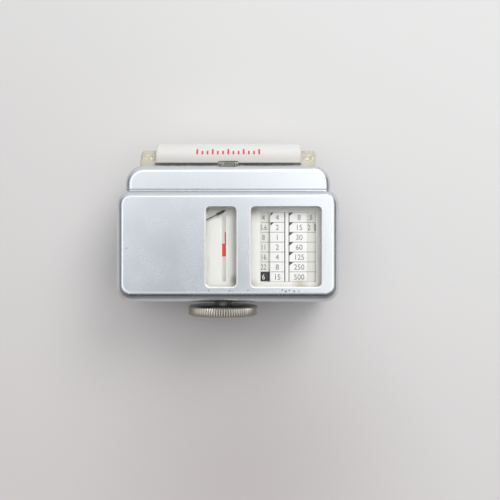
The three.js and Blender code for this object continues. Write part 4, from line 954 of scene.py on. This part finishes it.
def printColumn(ink, side, drum, value):
    # one light value's stops, and on the left drum the value itself in the last row
    turn = drums["columnDegrees"] * (value - drums["restValue"])
    textTurn = turn + degrees(drum["shift"] / drum["radius"])
    last = table["rows"] - 1
    for row in range(last):
        stop = value + row - 2 if side == "left" else value - row - 3
        if stop in drums["stops"]:
            gather(ink["stops"], drumText(drums["stops"][stop]), wrapOn(drum, textTurn, rowMiddle(row)))
        if side == "right" and stop == min(drums["stops"]):  # the end of the range
            gather(ink["cells"], rectangle(*drums["endBar"], cellsAcross=2),
                   wrapOn(drum, turn, rowMiddle(row)))
    if side == "left":
        half = radians(drums["columnDegrees"]) * drum["radius"] / 2 - drums["patchSide"]
        patch = rectangle(-half, half, -table["pitch"] / 2 + drums["patchLow"],
                          table["pitch"] / 2 - drums["patchHigh"], cellsAcross=8)
        gather(ink["cells"], patch, wrapOn(drum, turn, rowMiddle(last)))
        gather(ink["values"], drumText(str(value)), wrapOn(drum, textTurn, rowMiddle(last), layer))


for side, own in drumSides.items():
    ink = {kind: ([], []) for kind in drumInks}
    drum = {**drums, **own}
    for row in range(1, table["rows"]):
        gather(ink["lines"], ringBand(drum, drums["lineWidth"] / 2), wrapOn(drum, 0, rowTop(row)))
    for value in drums["values"]:
        printColumn(ink, side, drum, value)
    for kind, tint in drumInks.items():
        if ink[kind][0]:  # only the left drum shows values
            printed(f"{side}_drum_{kind}", ink[kind], finish[tint], f"{side}_drum_body",
                    drums["lineThickness"] if kind == "lines" else inkThickness)

band, red = ([], []), ([], [])
rear, front = index["ends"]
gather(band, ringBand(index, (front - rear) / 2), wrapOn(index, 0, (rear + front) / 2))
# the index band and its red steps glow with painted light
printed("index_band", band, finish["index white"], "index_body")
redFrom, redTo = index["redTurn"]
half = radians((redTo - redFrom) / 2) * index["radius"]
for i, step in enumerate(index["redSteps"]):
    low = max(rear, index["redAlong"][0] + index["redStep"] * step)
    high = min(front, index["redAlong"][1] + index["redStep"] * step)
    middle = (redFrom + redTo) / 2 + drums["columnDegrees"] * step
    gather(red, rectangle(-half, half, -(high - low) / 2, (high - low) / 2, cellsAcross=10),
           wrapOn(index, middle, (low + high) / 2, layer + index["stepLift"] * i))
printed("index_red_steps", red, finish["index red"], "index_body")
print("drums printed")


# Film speed disc: plain numbers round the coin slot

discPrint = {"faceY": -19.31, "radius": 3.85, "digit": 0.95, "digitWidth": 0.8, "spread": 45,
             "numbers": ("12", "25", "50", "100", "200", "400", "800"), "upright": 3}


def onDisc(turn):
    # stands print on the disc's face, turned about its centre
    def place(p):
        u, v = p.x, p.y + discPrint["radius"]
        return (wheel["x"] + u * cos(turn) + v * sin(turn), discPrint["faceY"],
                wheel["z"] - u * sin(turn) + v * cos(turn))
    return place


discInk = ([], [])
for i, words in enumerate(discPrint["numbers"]):
    gather(discInk, textMesh(words, discPrint["digit"], discPrint["digitWidth"]),
           onDisc(radians(discPrint["spread"] * (i - discPrint["upright"]))))
printed("disc_numbers", discInk, finish["white ink"], "index_body")


# Floor, light and camera; places in metres except where mm is named

# painted light and shade on the floor: a dim and a bright end of a painted light gradient, and a painted
# shadow colour
floorLook = {"halfMm": 600, "dim": (209, 205, 204), "bright": (223, 223, 222), "shade": (195, 190, 189),
             "towards": (0.48, 0.876, 0), "range": (-0.08, 0.06), "shadePlace": (0.003, -0.062, 0),
             "shadeReach": 0.06, "sockets": {"Roughness": 0.9, "Specular IOR Level": 0.1}}
sky = {"top": (1.88, 1.88, 1.89), "side": (0.3, 0.3, 0.31), "sideRange": (0.5, 0.94),
       "over": (0.02, 0.04, 0.08), "overAxis": (-0.08, -0.05, 1), "overRange": (0.979, 0.9992),
       "front": (0.95, 0.95, 0.95), "frontRange": (0.3, 0.85), "rear": (0.02, 0.02, 0.022),
       "rearRange": (-0.1, -0.7), "rearHeight": (0.4, 0.64), "strength": 0.87,
       "backdrop": (238, 238, 237)}
softbox = {"power": 1.35, "size": 0.3, "place": (0.24, 0.34, 0.42)}
lens = {"placeMm": (5.06, -3.8, 202.4), "degrees": 35.0, "sensor": 36, "clipStart": 0.005}


def makeFloor():
    half = floorLook["halfMm"]
    corners = [(-half, -half, 0), (half, -half, 0), (half, half, 0), (-half, half, 0)]
    mesh = meshFrom(corners, [(0, 1, 2, 3)], "floor")
    material, tree, shader = newMaterial("floor_paper", floorLook["sockets"])
    place = addNode(tree, "NewGeometry").outputs["Position"]
    along = vectorNode(tree, "DOT_PRODUCT", place, floorLook["towards"])
    apart = vectorNode(tree, "DISTANCE", place, floorLook["shadePlace"])
    # painted light: the paper runs from dim at the rear left to bright at the front right; painted shadow:
    # it darkens round a spot behind the meter
    paper = mixColour(tree, smoothRange(tree, along, *floorLook["range"], "LINEAR"),
                      colour(*floorLook["dim"]), colour(*floorLook["bright"]))
    shaded = smoothRange(tree, apart, floorLook["shadeReach"], 0)
    feed(tree, shader.inputs["Base Color"], mixColour(tree, shaded, paper, colour(*floorLook["shade"])))
    floor = newObject("floor", mesh, material, None)


def makeSky():
    # bright above, dark straight over and at the rear, dim at the sides; plain to the eye
    world = bpy.context.scene.world or bpy.data.worlds.new("sky")
    bpy.context.scene.world = world
    world.use_nodes = True
    tree = world.node_tree
    background = tree.nodes["Background"]
    direction = addNode(tree, "TexCoord").outputs["Generated"]
    parts = addNode(tree, "SeparateXYZ")
    feed(tree, parts.inputs[0], direction)
    depth, height = parts.outputs[1], parts.outputs[2]
    facing = vectorNode(tree, "DOT_PRODUCT", direction, Vector(sky["overAxis"]).normalized())
    lit = mixColour(tree, smoothRange(tree, height, *sky["sideRange"]), sky["side"], sky["top"])
    lit = mixColour(tree, smoothRange(tree, facing, *sky["overRange"]), lit, sky["over"])
    lit = mixColour(tree, smoothRange(tree, depth, *sky["frontRange"]), lit, sky["front"])
    rear = mathNode(tree, "MULTIPLY", smoothRange(tree, depth, *sky["rearRange"]),
                    smoothRange(tree, height, *sky["rearHeight"]))
    lit = mixColour(tree, rear, lit, sky["rear"])
    seen = addNode(tree, "LightPath").outputs["Is Camera Ray"]
    feed(tree, background.inputs["Color"], mixColour(tree, seen, lit, colour(*sky["backdrop"])))
    background.inputs["Strength"].default_value = sky["strength"]


def makeLights():
    lamp = bpy.data.lights.new("softbox", "AREA")
    lamp.shape = "SQUARE"
    lamp.size = softbox["size"]
    lamp.energy = softbox["power"]
    box = placed("softbox", lamp)
    box.location = softbox["place"]
    box.rotation_euler = (-Vector(softbox["place"])).to_track_quat("-Z", "Y").to_euler()


def makeCamera():
    eye = bpy.data.cameras.new("camera")
    eye.sensor_width = lens["sensor"]
    eye.lens = eye.sensor_width / 2 / tan(radians(lens["degrees"] / 2))
    eye.clip_start = lens["clipStart"]
    camera = placed("camera", eye)
    camera.location = tuple(v * mm for v in lens["placeMm"])
    bpy.context.scene.camera = camera


makeFloor()
makeSky()
makeLights()
makeCamera()
bpy.context.scene.view_settings.view_transform = "Standard"
print("stage ready")
